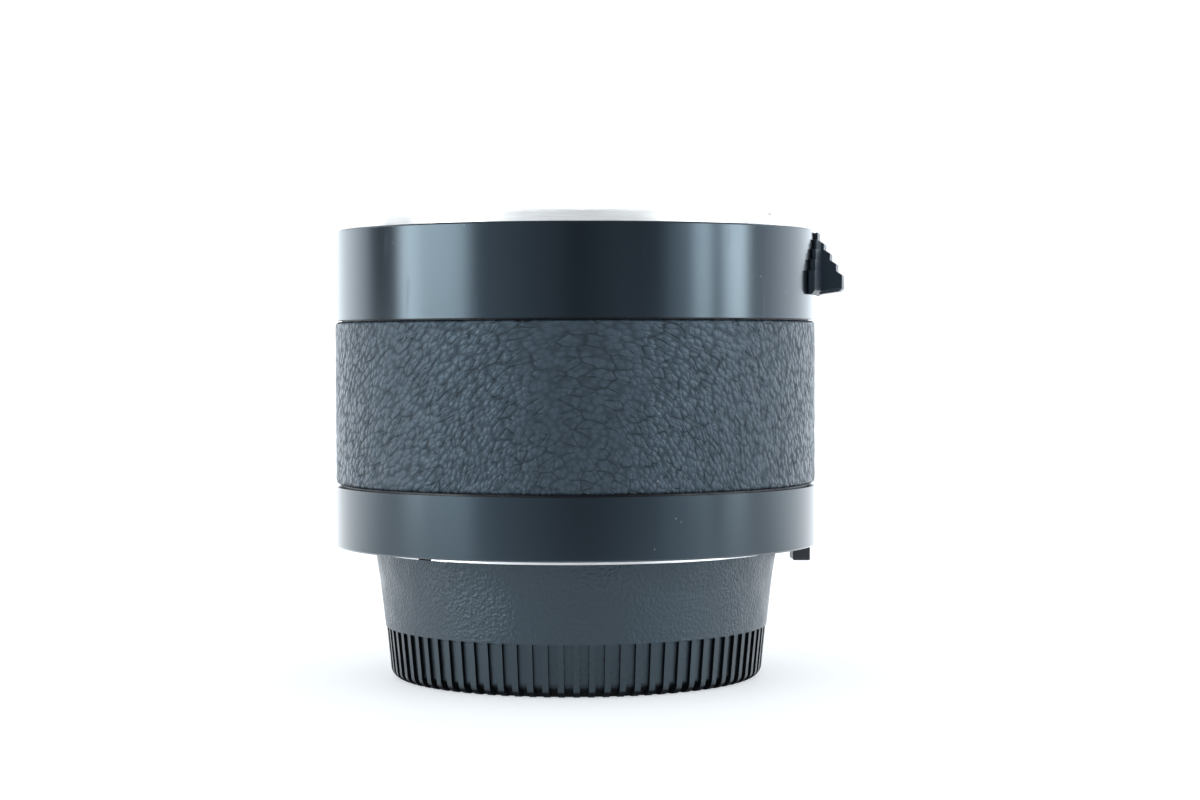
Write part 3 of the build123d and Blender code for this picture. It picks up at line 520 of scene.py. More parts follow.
def relief_turned(graph: Graph, shader: bpy.types.Node, finish: Finish) -> None:
    """Turned metal: fine rings round the axis with lighter and darker ones, and painted shade on the faces
    across the axis.

    Args:
        graph: The material's graph.
        shader: Its Principled node.
        finish: The finish in use.
    """
    x, y, z = graph.split(graph.place())
    square = graph.math("MULTIPLY_ADD", x, x, graph.math("MULTIPLY", y, y))
    along = graph.math("ADD", graph.math("SQRT", square), z)
    combine = graph.add("CombineXYZ")
    graph.put(combine.inputs[0], along)
    graph.put(combine.inputs[1], graph.math("MULTIPLY", x, 0.02))
    rings = graph.noise(combine.outputs[0], 9000.0, 4.0, 0.7)
    _, rough = graph.uneven(160.0, finish.roughness - 0.05, finish.roughness + 0.07, rise=3.0)
    graph.put(shader.inputs["Roughness"], rough)
    bright = graph.remap(rings, 0.35, 0.65, 0.0, 1.0)
    wall = graph.mix(bright, toned(finish.base, 0.86), finish.base)
    # Painted shade: faces across the axis, found from the normal, get a base colour about half as bright as the
    # walls.
    face = graph.mix(bright, toned(finish.base, 0.38), toned(finish.base, 0.5))
    _, _, up = graph.split(graph.add("NewGeometry").outputs["Normal"])
    axis_facing_shade = graph.remap(graph.math("ABSOLUTE", up), 0.7, 0.95, 0.0, 1.0)
    graph.put(shader.inputs["Base Color"], graph.mix(axis_facing_shade, wall, face))
    graph.put(shader.inputs["Normal"], graph.bump(rings, 0.01 * MM, 0.5))


def relief_painted(graph: Graph, shader: bpy.types.Node, finish: Finish) -> None:
    """Matt paint with a faint tooth.

    Args:
        graph: The material's graph.
        shader: Its Principled node.
        finish: The finish in use.
    """
    tooth = graph.noise(graph.place(), 5000.0, 3.0)
    tone, rough = graph.uneven(300.0, finish.roughness - 0.04, finish.roughness + 0.04)
    skin = graph.mix(tone, toned(finish.base, 0.85), toned(finish.base, 1.15))
    graph.put(shader.inputs["Base Color"], skin)
    graph.put(shader.inputs["Roughness"], rough)
    graph.put(shader.inputs["Normal"], graph.bump(tooth, 0.02 * MM, 0.5))


def relief_grained(graph: Graph, shader: bpy.types.Node, finish: Finish) -> None:
    """Spark-eroded plastic: close soft pits that come and go, painted shade on the ribbed band, its flanks and
    groove ends, and dust.

    A flank is where the surface doesn't face away from the axis, and a groove where the distance from the axis
    is less than that of the ribs' tops.

    Args:
        graph: The material's graph.
        shader: Its Principled node.
        finish: The finish in use.
    """
    x, y, z = graph.split(graph.place())
    ribs = graph.remap(z, CAP.rib_top - CAP.rib_edge, CAP.rib_top, 1.0, 0.0)
    radius = graph.math("SQRT", graph.math("MULTIPLY_ADD", x, x, graph.math("MULTIPLY", y, y)))
    crest = graph.math("MULTIPLY_ADD", graph.math("SUBTRACT", z, CAP.rib_top), CAP.slope, CAP.crest_radius)
    groove = graph.remap(graph.math("SUBTRACT", crest, radius), CAP.rim, CAP.groove, 0.0, 1.0)
    foot = graph.remap(z, CAP.base + CAP.foot[0], CAP.base + CAP.foot[1], 1.0, 0.0)
    ahead, aside, _ = graph.split(graph.add("NewGeometry").outputs["Normal"])
    outward = graph.math("MULTIPLY_ADD", ahead, x, graph.math("MULTIPLY", aside, y))
    flank = graph.remap(graph.math("DIVIDE", outward, radius), 0.45, 0.9, 1.0, 0.0)
    # Painted shade: mask of the rib flanks and of the groove ends near the foot.
    painted_flank_groove_shade = graph.math("MULTIPLY", ribs, graph.math("MAXIMUM", flank, graph.math("MULTIPLY", groove, foot)))
    pits = graph.cells(graph.place(), 2100.0)
    fine = graph.noise(graph.place(), 3900.0, 3.0)
    patch = graph.remap(graph.noise(graph.place(), 75.0, 1.0), 0.38, 0.62, 0.35, 1.0)
    grain = graph.math("MULTIPLY", graph.math("MULTIPLY_ADD", fine, 0.9, pits), patch)
    grain = graph.math("MULTIPLY", grain, graph.math("MULTIPLY_ADD", ribs, -0.6, 1.0))
    tone, rough = graph.uneven(380.0, finish.roughness - 0.05, finish.roughness + 0.05)
    skin = graph.mix(tone, toned(finish.base, 0.72), finish.base)
    # Painted shade: the ribbed band gets a colour much darker than the skirt, standing in for the shade among
    # its grooves.
    skin = graph.mix(ribs, skin, toned(finish.base, 0.3))
    # Painted shade: near-black colour on the rib flanks and in the groove ends.
    skin = graph.mix(painted_flank_groove_shade, skin, toned(finish.base, 0.12))
    graph.put(shader.inputs["Base Color"], graph.mix(graph.dust(2.2 * MM, 0.12 * MM, 0.7), skin, grey(0.25)))
    graph.put(shader.inputs["Roughness"], graph.math("MULTIPLY_ADD", painted_flank_groove_shade, 0.3, rough))
    sheen = graph.math("MULTIPLY_ADD", painted_flank_groove_shade, -0.9 * finish.specular, finish.specular)
    graph.put(shader.inputs["Specular IOR Level"], sheen)
    graph.put(shader.inputs["Normal"], graph.bump(grain, CAP.depth))


def relief_wound(graph: Graph, shader: bpy.types.Node, finish: Finish) -> None:
    """Drawn or brushed steel, faintly uneven.

    Args:
        graph: The material's graph.
        shader: Its Principled node.
        finish: The finish in use.
    """
    draw, rough = graph.uneven(700.0, finish.roughness - 0.04, finish.roughness + 0.06, rise=0.2)
    graph.put(shader.inputs["Roughness"], rough)
    graph.put(shader.inputs["Base Color"], graph.mix(draw, toned(finish.base, 0.9), finish.base))


def relief_coated(graph: Graph, shader: bpy.types.Node, finish: Finish) -> None:
    """Coated glass: a coat whose tint drifts from green to purple across the face.

    Args:
        graph: The material's graph.
        shader: Its Principled node.
        finish: The finish in use.
    """
    drift = graph.noise(graph.place(), 25.0, 0.0)
    tint = graph.mix(graph.remap(drift, 0.35, 0.65, 0.0, 1.0), (0.45, 0.85, 0.75), (0.75, 0.55, 0.95))
    graph.put(shader.inputs["Specular Tint"], tint)


def relief_leather(graph: Graph, shader: bpy.types.Node, finish: Finish) -> None:
    """Leather: close domed pebbles, long creases, fine pores and dust, with painted highlights on the raised
    grain and painted shade in the creases; the grain, and with it this painted light and shade, is flatter in
    the middle of the front side.

    The pebbles lie in the band's own flow coordinates, so they follow the long creases of the surface.

    Args:
        graph: The material's graph.
        shader: Its Principled node.
        finish: The finish in use.
    """
    level = graph.add("Attribute", attribute_name="grain_level", attribute_type="GEOMETRY").outputs["Fac"]
    flow = graph.add("Attribute", attribute_name="grain_flow", attribute_type="GEOMETRY").outputs["Vector"]
    bend = graph.add("TexNoise")
    graph.put(bend.inputs["Vector"], flow)
    graph.put(bend.inputs["Scale"], LEATHER.bend_scale)
    shift = graph.add("VectorMath", operation="MULTIPLY_ADD")
    graph.put(shift.inputs[0], bend.outputs["Color"])
    graph.put(shift.inputs[1], (LEATHER.bend, LEATHER.bend, 0.0))
    graph.put(shift.inputs[2], flow)
    bent = shift.outputs[0]
    pebbles = graph.stretch(bent, LEATHER.pebble_stretch)
    lump = graph.cells(pebbles, 1 / LEATHER.pebble, "SMOOTH_F1", flat=True)
    dome = graph.remap(lump, 0.62, 0.12, 0.0, 1.0)
    edges = graph.cells(pebbles, 1 / LEATHER.pebble, "DISTANCE_TO_EDGE", flat=True)
    brim = graph.remap(edges, 0.0, 0.2, 0.0, 1.0)
    x, y, _ = graph.split(graph.place())
    # Flatter grain, with weaker painted highlight and shade, in the middle of the front (-Y) side.
    front = graph.math("MULTIPLY", graph.math("LESS_THAN", y, 0.0), LEATHER.flat_front_share)
    middle = graph.remap(graph.math("ABSOLUTE", x), LEATHER.flat_front_core, LEATHER.flat_front_edge, 1.0, 0.0)
    flat_front = graph.math("MULTIPLY", front, middle)
    strength = graph.remap(graph.noise(flow, 330.0, 2.0), 0.35, 0.62, 0.5, 1.0)
    strength = graph.math("MULTIPLY", strength, graph.math("SUBTRACT", 1.0, flat_front))
    cracks = graph.stretch(bent, LEATHER.crack_stretch)
    crack = graph.cells(cracks, 1 / LEATHER.crack, "DISTANCE_TO_EDGE", flat=True)
    come_and_go = graph.remap(graph.noise(flow, 260.0, 1.0), 0.4, 0.56, 0.0, 1.0)
    crease = graph.math("MULTIPLY", graph.remap(crack, 0.0, 0.12, 1.0, 0.0), come_and_go)
    fine = graph.noise(graph.place(), 3800.0, 3.0, 0.6)
    height = graph.math("MULTIPLY", graph.math("MULTIPLY_ADD", brim, 0.35, dome), strength)
    height = graph.math("MULTIPLY_ADD", crease, -0.7, height)
    height = graph.math("MULTIPLY_ADD", fine, 0.25, height)
    raised = graph.remap(height, -0.3, 0.9, 0.0, 1.0)
    # Painted highlight and shade: raised grain gets a much lighter colour, creases and low grain a much darker
    # one.
    tops = graph.math("MULTIPLY", raised, graph.remap(level, 0.0, 0.8, 0.6, 1.0))
    skin = graph.mix(tops, toned(finish.base, 0.25), toned(finish.base, 1.3))
    graph.put(shader.inputs["Base Color"], graph.mix(graph.dust(2.0 * MM, 0.1 * MM, 0.75), skin, grey(0.3)))
    rough = graph.remap(height, 0.1, 1.0, finish.roughness + 0.14, finish.roughness - 0.04)
    graph.put(shader.inputs["Roughness"], rough)
    graph.put(shader.inputs["Normal"], graph.bump(height, LEATHER.depth))


RELIEFS: dict[Texture, Relief] = {
    Texture.POLISHED: relief_polished,
    Texture.MOULDED: relief_moulded,
    Texture.TURNED: relief_turned,
    Texture.PAINTED: relief_painted,
    Texture.GRAINED: relief_grained,
    Texture.WOUND: relief_wound,
    Texture.COATED: relief_coated,
    Texture.LEATHER: relief_leather,
}

# Painted reflection colour: a blue tint on the reflections of the dark plastics, paint and leather.
PAINTED_BLUE_REFLECTION_TINT: Color = (0.64, 0.85, 1.0)

FINISHES: dict[str, tuple[Finish, Texture]] = {
    "gloss_black_shell": (
        Finish((0.0045, 0.0065, 0.0095), 0.19, specular=0.6, sheen_tint=PAINTED_BLUE_REFLECTION_TINT),
        Texture.POLISHED,
    ),
    "leatherette": (Finish((0.0292, 0.0408, 0.0533), 0.42, specular=0.31, sheen_tint=PAINTED_BLUE_REFLECTION_TINT), Texture.LEATHER),
    "lens_mount_metal": (Finish((0.96, 0.935, 0.905), 0.52, metallic=1.0, anisotropic=0.9), Texture.TURNED),
    "camera_mount_metal": (Finish(grey(0.8, 0.01), 0.35, metallic=1.0, anisotropic=0.8), Texture.TURNED),
    "black_metal": (Finish((0.010, 0.0125, 0.018), 0.5), Texture.PAINTED),
    "inner_metal": (Finish(grey(0.45, 0.02), 0.4, metallic=1.0), Texture.TURNED),
    "screw_steel": (Finish(grey(0.55, 0.01), 0.3, metallic=1.0), Texture.WOUND),
    "spring_steel": (Finish(grey(0.5, 0.01), 0.28, metallic=1.0), Texture.WOUND),
    "brass_ring": (Finish((0.6, 0.45, 0.2), 0.35, metallic=1.0), Texture.TURNED),
    "lever_plastic": (Finish((0.0095, 0.0128, 0.019), 0.46, specular=0.24, sheen_tint=PAINTED_BLUE_REFLECTION_TINT), Texture.MOULDED),
    "cap_plastic": (Finish((0.0125, 0.0166, 0.0217), 0.43, specular=0.55, sheen_tint=PAINTED_BLUE_REFLECTION_TINT), Texture.GRAINED),
    "index_paint": (Finish(grey(0.8), 0.5), Texture.PAINTED),
    "glass": (Finish(grey(0.98), 0.02, transmission=1.0, ior=1.6), Texture.COATED),
}


class Paintbox:
    """Makes each finish's material once."""

    def __init__(self) -> None:
        """Starts with no materials."""
        self._made: dict[str, Material] = {}

    def get(self, slot: str) -> Material:
        """The material of a slot.

        Args:
            slot: A key of FINISHES.

        Returns:
            The material.
        """
        if slot not in self._made:
            self._made[slot] = self._make(slot)
        return self._made[slot]

    def _make(self, slot: str) -> Material:
        """Makes a material.

        Args:
            slot: A key of FINISHES.

        Returns:
            The material.
        """
        finish, texture = FINISHES[slot]
        material = bpy.data.materials.new(slot)
        material.use_nodes = True
        graph = Graph(material.node_tree)
        shader = next(node for node in graph.nodes if node.type == "BSDF_PRINCIPLED")
        constants = {
            "Base Color": finish.base,
            "Roughness": finish.roughness,
            "Metallic": finish.metallic,
            "IOR": finish.ior,
            "Specular IOR Level": finish.specular,
            "Transmission Weight": finish.transmission,
            "Anisotropic": finish.anisotropic,
            "Anisotropic Rotation": 0.25 if finish.anisotropic > 0 else 0.0,
            # Specular Tint carries the painted blue reflection tint of some finishes.
            "Specular Tint": finish.sheen_tint,
        }
        for name, value in constants.items():
            graph.put(shader.inputs[name], value)
        if finish.anisotropic > 0:
            tangent = graph.add("Tangent", direction_type="RADIAL", axis="Z")
            graph.put(shader.inputs["Tangent"], tangent.outputs[0])
        RELIEFS[texture](graph, shader, finish)
        return material


@dataclass(frozen=True)
class GripSizes:
    """Sizes of the leather grip, in metres, and the lean of its grain in degrees."""

    radius: float
    bore: float
    low: float
    high: float
    depth: float = 0.2 * MM
    edge: float = 0.3 * MM
    swell: float = 3.0 * MM
    lump: tuple[float, float] = (2.1 * MM, 1.4 * MM)
    crease: tuple[float, float] = (5.0 * MM, 1.9 * MM)
    seam: float = 0.25 * MM
    columns: int = 1040
    rows: int = 92
    flow_level: float = 5.0 * MM
    lean_turns: tuple[float, ...] = (-180, -135, -90, -50, -30, 42, 60, 90, 135, 180)
    lean_degrees: tuple[float, ...] = (0, 40, 30, 40, 46, -60, -62, -55, -20, 0)


class LeatherGrip:
    """Leather band round the barrel, joined at the back, whose grain leans one way, then the other."""

    def __init__(self, sizes: GripSizes, seed: int = 7) -> None:
        """Args:
        sizes: The band's sizes.
        seed: Start of the random pattern.
        """
        self.sizes = sizes
        self.random = np.random.default_rng(seed)

    def _flow(self, turn: np.ndarray, height: np.ndarray) -> tuple[np.ndarray, np.ndarray]:
        """Coordinates along and across the grain.

        The lean a of the grain is a smooth function of the turn, and h is the height over the flow's own level.
        Along is the integral of cos(a) plus h sin(a), and across is h cos(a) minus the integral of sin(a).

        Args:
            turn: Angle round the band from the photographed side, in radians, rising along each row.
            height: Height over the band's middle in metres.

        Returns:
            Distances along and across in metres.
        """
        s = self.sizes
        fine = np.linspace(-math.pi, math.pi, 1441)
        lean = np.radians(np.interp(np.degrees(fine), s.lean_turns, s.lean_degrees))
        soft = np.hanning(61) / np.hanning(61).sum()
        lean = np.convolve(np.pad(lean, 30, mode="edge"), soft, mode="valid")
        step = s.radius * (fine[1] - fine[0])
        ahead = np.interp(turn, fine, np.cumsum(np.cos(lean)) * step)
        aside = np.interp(turn, fine, np.cumsum(np.sin(lean)) * step)
        here = np.interp(turn, fine, lean)
        over = height - s.flow_level
        return ahead + over * np.sin(here), over * np.cos(here) - aside

    def _cells(
        self, along: np.ndarray, across: np.ndarray, size: tuple[float, float]
    ) -> tuple[np.ndarray, np.ndarray]:
        """Distances to the random points of a grid, one point to a cell.

        Args:
            along: Distance along the grain in metres.
            across: Distance across the grain in metres.
            size: Length and width of a cell in metres.

        Returns:
            The least distance, and how much longer the second least is, in cells.
        """
        table = 128
        shift = self.random.uniform(0.04, 0.96, (table, table, 2))
        far, wide = along / size[0], across / size[1]
        column, row = np.floor(far).astype(int), np.floor(wide).astype(int)
        first = np.full(along.shape, 9.0)
        second = np.full(along.shape, 9.0)
        for up in range(-2, 3):
            for side in range(-2, 3):
                seed = shift[(row + up) % table, (column + side) % table]
                distance = np.hypot(far - column - side - seed[..., 0], wide - row - up - seed[..., 1])
                nearer = distance < first
                second = np.where(nearer, first, np.minimum(second, distance))
                first = np.where(nearer, distance, first)
        return first, second - first

    def _waves(self, along: np.ndarray, height: np.ndarray, size: float, count: int) -> np.ndarray:
        """Soft random waves that close round the band.

        A sum of cosines with random directions, whose waves fit a whole number of times round.

        Args:
            along: Distance round the band in metres.
            height: Distance up the band in metres.
            size: Mean length of a wave in metres.
            count: How many cosines.

        Returns:
            Values around 0, mostly within -1 and 1.
        """
        total = np.zeros(along.shape)
        around = 2 * math.pi * self.sizes.radius / size
        for _ in range(count):
            angle = self.random.uniform(0, 2 * math.pi)
            stretch = self.random.uniform(0.6, 1.5)
            turns = round(around * stretch * math.cos(angle))
            rise = 2 * math.pi * stretch * math.sin(angle) / size
            phase = self.random.uniform(0, 2 * math.pi)
            total += np.cos(turns * along / self.sizes.radius + rise * height + phase)
        return total / math.sqrt(count)

    def relief(self, turn: np.ndarray, height: np.ndarray) -> tuple[np.ndarray, np.ndarray]:
        """Height of the band's large grain from 0 to 1, and the flow coordinates of its fine grain.

        Soft lumps cut by long creases that come and go, on a slow swell, with a butt joint at the back.

        Args:
            turn: Angle round the band from the photographed side, in radians.
            height: Height over the band's middle in metres.

        Returns:
            The relief and the coordinates, three to a point.
        """
        s = self.sizes
        along, across = self._flow(turn, height)
        round_way = turn * s.radius
        bent_along = along + 0.2 * MM * self._waves(round_way, height, 2.2 * MM, 12)
        bent_across = across + 0.2 * MM * self._waves(round_way, height, 2.2 * MM, 12)
        near, _ = self._cells(bent_along, bent_across, s.lump)
        _, gap = self._cells(bent_along, bent_across, s.crease)
        crease = np.exp(-((gap / 0.12) ** 1.2))
        share = np.clip(0.45 + 0.5 * self._waves(round_way, height, 5.0 * MM, 16), 0.0, 1.0)
        swell = self._waves(round_way, height, s.swell, 16)
        level = 0.62 + 0.3 * np.clip(1 - near**2, 0, 1) - 0.5 * crease * share + 0.1 * swell
        seam = np.exp(-(((math.pi - np.abs(turn)) * s.radius / s.seam) ** 2))
        flow = np.stack([along, across, np.zeros_like(along)], axis=-1)
        return np.clip(level, 0, 1) * (1 - seam), flow

    def build(self) -> bpy.types.Object:
        """Builds the band as one closed surface.

        The section runs up the outside, over the rounded edges and back down the bore. The outside's radius
        is radius - depth * (1 - relief), faded at both edges.

        Returns:
            The new object.
        """
        s = self.sizes
        turn = np.linspace(-math.pi, math.pi, s.columns, endpoint=False)
        heights = np.linspace(s.low, s.high, s.rows)
        turns, height = np.meshgrid(turn, heights - s.low)
        level, flow = self.relief(turns, height - 0.5 * (s.high - s.low))
        near_edge = np.minimum(height, (s.high - s.low) - height)
        corner = np.clip(1 - near_edge / s.edge, 0, 1)
        fall = s.edge * (1 - np.sqrt(np.clip(1 - corner**2, 0, 1)))
        fade = np.clip(near_edge / (2 * s.edge), 0, 1)
        radius = s.radius - s.depth * (1 - level) * fade - 0.5 * s.depth * (1 - fade) - fall
        radius = np.vstack([np.full((1, s.columns), s.bore), radius, np.full((1, s.columns), s.bore)])
        heights = np.concatenate([[s.low], heights, [s.high]])
        x, y = radius * np.sin(turn), -radius * np.cos(turn)
        z = np.broadcast_to(heights[:, None], radius.shape)
        vertices = np.stack([x, y, z], axis=-1).reshape(-1, 3)
        values = {"grain_level": with_bore_rows(level), "grain_flow": with_bore_rows(flow)}
        return closed_grid("grip_leather", vertices, s.rows + 2, s.columns, values)


def with_bore_rows(values: np.ndarray) -> np.ndarray:
    """Repeats the first and the last row, for the rows of points in the bore.

    Args:
        values: Numbers or vectors, row after row.

    Returns:
        The values with a row more at each end.
    """
    return np.concatenate([values[:1], values, values[-1:]])


def closed_grid(
    name: str, vertices: np.ndarray, rows: int, columns: int, values: dict[str, np.ndarray]
) -> bpy.types.Object:
    """A surface whose rows close into rings and whose last row joins the first.

    Quad (i, j) joins rows i and i + 1 and columns j and j + 1, both counted round.

    Args:
        name: Name of the object.
        vertices: Points, row after row.
        rows: How many rows.
        columns: How many points in a row.
        values: Numbers or vectors per point, kept as attributes.

    Returns:
        The new object, smoothly shaded.
    """
    row, column = np.meshgrid(np.arange(rows), np.arange(columns), indexing="ij")
    next_row, next_column = (row + 1) % rows, (column + 1) % columns
    quads = np.stack(
        [
            row * columns + column,
            row * columns + next_column,
            next_row * columns + next_column,
            next_row * columns + column,
        ],
        axis=-1,
    ).reshape(-1, 4)
    mesh = bpy.data.meshes.new(name)
    mesh.vertices.add(len(vertices))
    mesh.vertices.foreach_set("co", vertices.astype(np.float32).ravel())
    mesh.loops.add(quads.size)
    mesh.loops.foreach_set("vertex_index", quads.astype(np.int32).ravel())
    mesh.polygons.add(len(quads))
    mesh.polygons.foreach_set("loop_start", np.arange(0, quads.size, 4, dtype=np.int32))
    mesh.polygons.foreach_set("use_smooth", np.ones(len(quads), dtype=bool))
    mesh.update(calc_edges=True)
    for key, numbers in values.items():
        single = numbers.ndim == 2
        attribute = mesh.attributes.new(key, "FLOAT" if single else "FLOAT_VECTOR", "POINT")
        attribute.data.foreach_set("value" if single else "vector", numbers.astype(np.float32).ravel())
    made = bpy.data.objects.new(name, mesh)
    bpy.context.scene.collection.objects.link(made)
    return made


@dataclass(frozen=True)
class CameraSizes:
    """Where the camera stands and how it looks."""

    place: tuple[float, float, float] = (0.0, -0.3324, 0.0269)
    pitch_down: float = 0.021
    yaw_right: float = 0.010
    roll: float = 0.0031
    lens: float = 73.7


@dataclass(frozen=True)
class LightLevels:
    """Brightness of the studio, as multiples of white.

    The bands list azimuths in degrees with the level that shiny surfaces see there: 0 is towards the camera and
    90 to its right. Upper bands lie above the horizon and lower bands below it. The limits of the horizon, the
    ceiling and the zenith are heights of a direction, from -1 to 1.
    """

    seen: float = 1.1
    diffuse: float = 1.1
    ceiling: float = 4.1
    ceiling_behind: float = 1.3
    zenith: float = 0.45
    floor_glow: float = 0.5
    floor_shine: tuple[float, float] = (1.1, 1.9)
    floor_albedo: float = 0.6
    floor_front: float = 0.14
    floor_half: float = 3.0
    floor_fade: tuple[float, float] = (0.0, 0.14)
    horizon: tuple[float, float] = (-0.045, 0.01)
    ceiling_start: float = 0.3
    ceiling_start_behind: float = 0.1
    ceiling_blend: float = 0.25
    zenith_blend: tuple[float, float] = (0.66, 0.9)
    behind: tuple[float, float] = (95.0, 130.0)
    upper: tuple[tuple[float, float], ...] = (
        (-180, 3.4), (-125, 3.2), (-115, 2.4), (-107, 0.3), (-92, 0.3), (-86, 12.0), (-80, 11.0), (-76, 8.6),
        (-64, 9.0),
        (-56, 8.7), (-52, 6.9), (-47, 0.9), (-33, 0.95), (-20, 0.6), (-10, 0.5), (0, 0.14), (20, 0.45),
        (36, 0.28), (42, 0.6), (45, 2.0), (54.5, 2.6), (58, 9.5), (64.5, 10.3), (67.5, 1.7), (70.5, 1.9),
        (74, 9.6),
        (80, 13.5), (85, 12.4), (89, 1.1), (112, 2.6), (148, 3.4), (180, 2.6),
    )
    lower: tuple[tuple[float, float], ...] = (
        (-180, 5.2), (-125, 4.4), (-112, 2.4), (-100, 1.0), (-92, 1.3), (-87, 9.2), (-79, 9.2), (-74, 2.4),
        (-60, 2.3), (-52, 2.7), (-46, 1.8), (-38, 1.25), (-28, 1.0), (-18, 0.8), (-8, 0.56), (2, 0.46),
        (12, 0.52), (22, 0.75), (36, 1.15), (44, 1.65), (52, 1.6), (60, 0.9), (76, 0.75), (88, 1.2), (100, 2.1),
        (112, 3.5), (125, 4.6), (180, 5.2),
    )


class Studio:
    """Camera, pale floor and soft light."""

    def __init__(self, camera: CameraSizes, levels: LightLevels) -> None:
        """Args:
        camera: The camera's place.
        levels: The light's levels.
        """
        self.camera = camera
        self.levels = levels

    def build(self, ground: float) -> None:
        """Builds the studio.

        Args:
            ground: Height of the floor.
        """
        self._camera()
        self._floor(ground)
        self._world()
        bpy.context.scene.view_settings.view_transform = "Standard"

    def _camera(self) -> None:
        """Places the scene's camera."""
        data = bpy.data.cameras.new("camera")
        data.lens = self.camera.lens
        data.sensor_width = 36.0
        data.clip_start = 0.01
        made = bpy.data.objects.new("camera", data)
        made.location = self.camera.place
        tilt = math.pi / 2 - self.camera.pitch_down
        made.rotation_euler = (tilt, self.camera.roll, -self.camera.yaw_right)
        bpy.context.scene.collection.objects.link(made)
        bpy.context.scene.camera = made

    def _floor(self, ground: float) -> None:
        """Lays the pale floor, which glows softly and looks brighter behind the part to shiny surfaces.

        It rides on the cap, so that it stays under the cap when that is pulled off.

        Args:
            ground: Height of the floor.
        """
        half, front = self.levels.floor_half, self.levels.floor_front
        mesh = bpy.data.meshes.new("floor")
        low = ground - 0.01 * MM
        corners = [(-half, -front, low), (half, -front, low), (half, half, low), (-half, half, low)]
        mesh.from_pydata(corners, [], [(0, 1, 2, 3)])
        floor = bpy.data.objects.new("floor", mesh)
        bpy.context.scene.collection.objects.link(floor)
        floor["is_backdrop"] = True
        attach(floor, "cap")
        material = bpy.data.materials.new("floor_paper")
        material.use_nodes = True
        graph = Graph(material.node_tree)
        shader = next(node for node in graph.nodes if node.type == "BSDF_PRINCIPLED")
        tone = graph.noise(graph.place(), 9.0, 3.0)
        albedo = self.levels.floor_albedo
        graph.put(shader.inputs["Base Color"], graph.mix(tone, grey(0.98 * albedo, 0.03), grey(albedo, 0.03)))
        graph.put(shader.inputs["Roughness"], 0.7)
        graph.put(shader.inputs["Specular IOR Level"], 0.2)
        graph.put(shader.inputs["Emission Color"], grey(1.0, 0.04))
        shiny = graph.add("LightPath").outputs["Is Glossy Ray"]
        _, y, _ = graph.split(graph.place())
        glow = self.levels.floor_glow
        near, far = (level - glow for level in self.levels.floor_shine)
        extra = graph.remap(y, *self.levels.floor_fade, near, far)
        graph.put(shader.inputs["Emission Strength"], graph.math("MULTIPLY_ADD", shiny, extra, glow))
        mesh.materials.append(material)

    def _world(self) -> None:
        """Light by direction: white to the camera, soft boxes and a dark room to shiny surfaces.

        The azimuth of a direction is arctan2(x, -y), so 0 looks towards the camera and 90 to the right.
        """
        world = bpy.data.worlds.new("studio")
        world.use_nodes = True
        graph = Graph(world.node_tree)
        graph.nodes.clear()
        x, y, z = graph.split(graph.add("TexCoord").outputs["Generated"])
        azimuth = graph.math("ARCTAN2", x, graph.math("MULTIPLY", y, -1.0))
        share = graph.math("MULTIPLY_ADD", azimuth, 0.5 / math.pi, 0.5)
        light = self.levels
        upper, lower = self._ramp(graph, share, light.upper), self._ramp(graph, share, light.lower)
        boxes = self._blend(graph, graph.remap(z, *light.horizon, 0.0, 1.0), lower, upper)
        turn = graph.math("ABSOLUTE", azimuth)
        behind = graph.remap(turn, *(math.radians(degrees) for degrees in light.behind), 0.0, 1.0)
        start = self._blend(graph, behind, light.ceiling_start, light.ceiling_start_behind)
        high = graph.remap(z, start, graph.math("ADD", start, light.ceiling_blend), 0.0, 1.0)
        level = self._blend(graph, behind, light.ceiling, light.ceiling_behind)
        shiny = self._blend(graph, high, boxes, graph.remap(z, *light.zenith_blend, level, light.zenith))
        path = graph.add("LightPath")
        plain = self._blend(graph, path.outputs["Is Diffuse Ray"], light.seen, light.diffuse)
        glossy = path.outputs["Is Glossy Ray"]
        background = graph.add("Background")
        bright = graph.remap(shiny, 0.3, 7.0, 0.0, 1.0)
        cool = graph.mix(bright, (0.85, 0.94, 1.04), (0.96, 1.0, 1.01))
        graph.put(background.inputs["Color"], graph.mix(glossy, (0.98, 0.995, 1.0), cool))
        graph.put(background.inputs["Strength"], self._blend(graph, glossy, plain, shiny))
        output = graph.add("OutputWorld")
        graph.put(output.inputs["Surface"], background.outputs[0])
        bpy.context.scene.world = world

    def _blend(self, graph: Graph, share: Socket, first: object, second: object) -> Socket:
        """Mixes two numbers.

        Args:
            graph: The world's graph.
            share: Share of the second one.
            first: Number at 0.
            second: Number at 1.

        Returns:
            The mixed number.
        """
        node = graph.add("Mix", data_type="FLOAT")
        for socket, value in zip(node.inputs[0:1] + node.inputs[2:4], (share, first, second)):
            graph.put(socket, value)
        return node.outputs[0]

    def _ramp(self, graph: Graph, share: Socket, bands: Sequence[tuple[float, float]]) -> Socket:
        """Level by azimuth.

        Args:
            graph: The world's graph.
            share: Azimuth from 0 to 1.
            bands: Degrees and levels, at most 32.

        Returns:
            The level.
        """
        ramp = graph.add("ValToRGB")
        graph.put(ramp.inputs[0], share)
        stops = ramp.color_ramp.elements
        top = max(level for _, level in bands)
        while len(stops) < len(bands):
            stops.new(0.5)
        for stop, (degrees, level) in zip(stops, bands):
            stop.position = (degrees + 180) / 360
            stop.color = (level / top, level / top, level / top, 1.0)
        return graph.math("MULTIPLY", ramp.outputs[0], top)


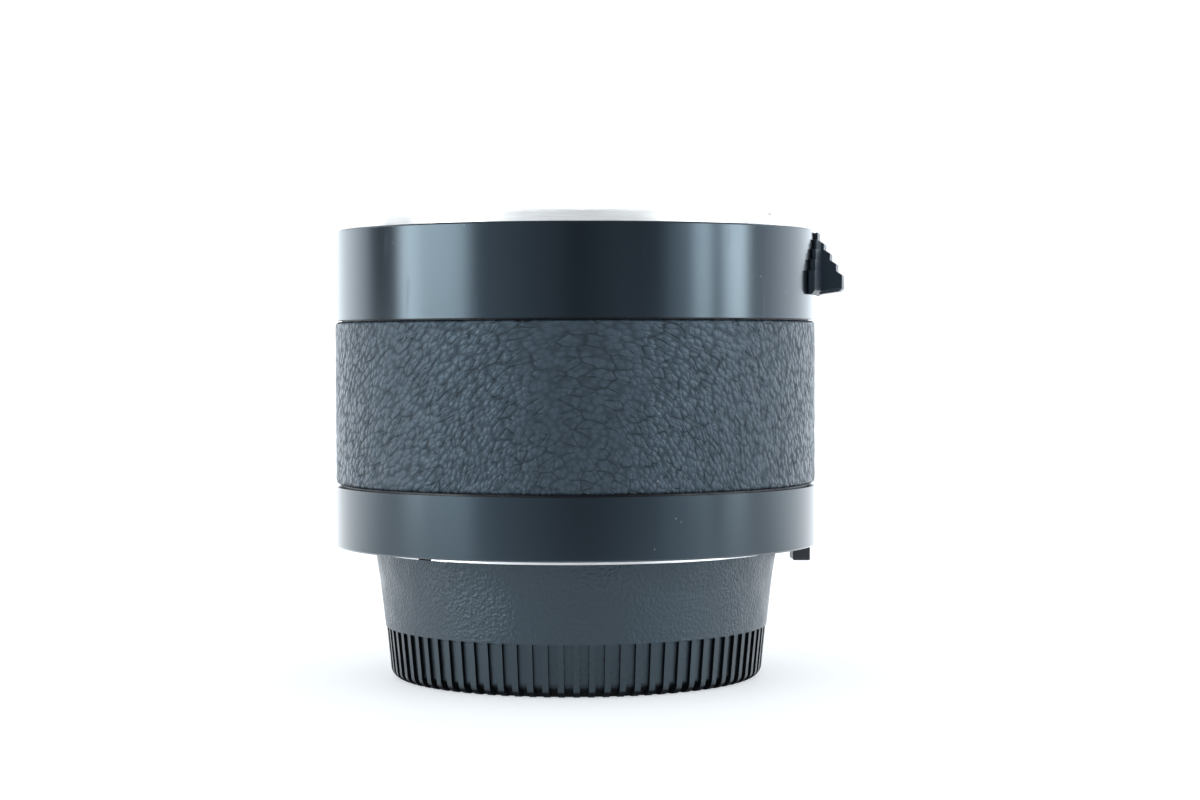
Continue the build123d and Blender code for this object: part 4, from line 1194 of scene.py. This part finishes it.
def plain_bounds() -> list[list[float]]:
    """The model's box as plain lists.

    Returns:
        Lowest and highest corner in metres.
    """
    return [[float(value) for value in corner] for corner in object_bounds()]


def paint_frame(frame: dict[str, object], paintbox: Paintbox) -> None:
    """Gives every CAD node its finish.

    Args:
        paintbox: Maker of materials.
    """
    slots: dict[str, str] = {part["node"]: part["material_slot"] for part in frame["record"]["subparts"]}
    for name, node in frame["nodes"].items():
        node.data.materials.clear()
        node.data.materials.append(paintbox.get(slots[name]))


@dataclass(frozen=True)
class SpringTravel:
    """A spring's CAD node, its joint and travel, and how near points are merged, in metres."""

    node: str = "lock_spring"
    joint: str = "release_lever"
    travel: float = 2.5 * MM
    merge: float = 0.001 * MM


def pressed_spring(frame: dict[str, object], spring: SpringTravel) -> bpy.types.Object:
    """A copy of a coil spring's CAD node, with near points merged, that rides on the barrel in its place.

    Args:
        spring: Which spring, and how near its points are merged.

    Returns:
        The new object.
    """
    mesh = frame["nodes"][spring.node].data.copy()
    mesh.name = spring.node + "_coil"
    shape = bmesh.new()
    shape.from_mesh(mesh)
    bmesh.ops.remove_doubles(shape, verts=shape.verts, dist=spring.merge)
    shape.to_mesh(mesh)
    shape.free()
    made = bpy.data.objects.new(mesh.name, mesh)
    bpy.context.scene.collection.objects.link(made)
    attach(made, "barrel")
    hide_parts(spring.node)
    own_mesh(made)
    return made


def main() -> None:
    """Builds the scene."""
    logging.basicConfig(level=logging.INFO)
    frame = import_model()
    before = plain_bounds()
    paintbox = Paintbox()
    paint_frame(frame, paintbox)
    low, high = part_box("grip_band")
    bore = float(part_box("sleeve")[1][0])
    grip = LeatherGrip(GripSizes(float(high[0]), bore, float(low[2]), float(high[2]))).build()
    grip.data.materials.append(paintbox.get("leatherette"))
    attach(grip, "barrel")
    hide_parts("grip_band")
    pressed_spring(frame, SpringTravel())
    Studio(CameraSizes(), LightLevels()).build(before[0][2])
    for made in sorted(bpy.context.scene.objects, key=lambda each: each.name):
        if made.type == "MESH":
            LOG.info("%s: %d faces", made.name, len(made.data.polygons))


if __name__ == "__main__":
    main()
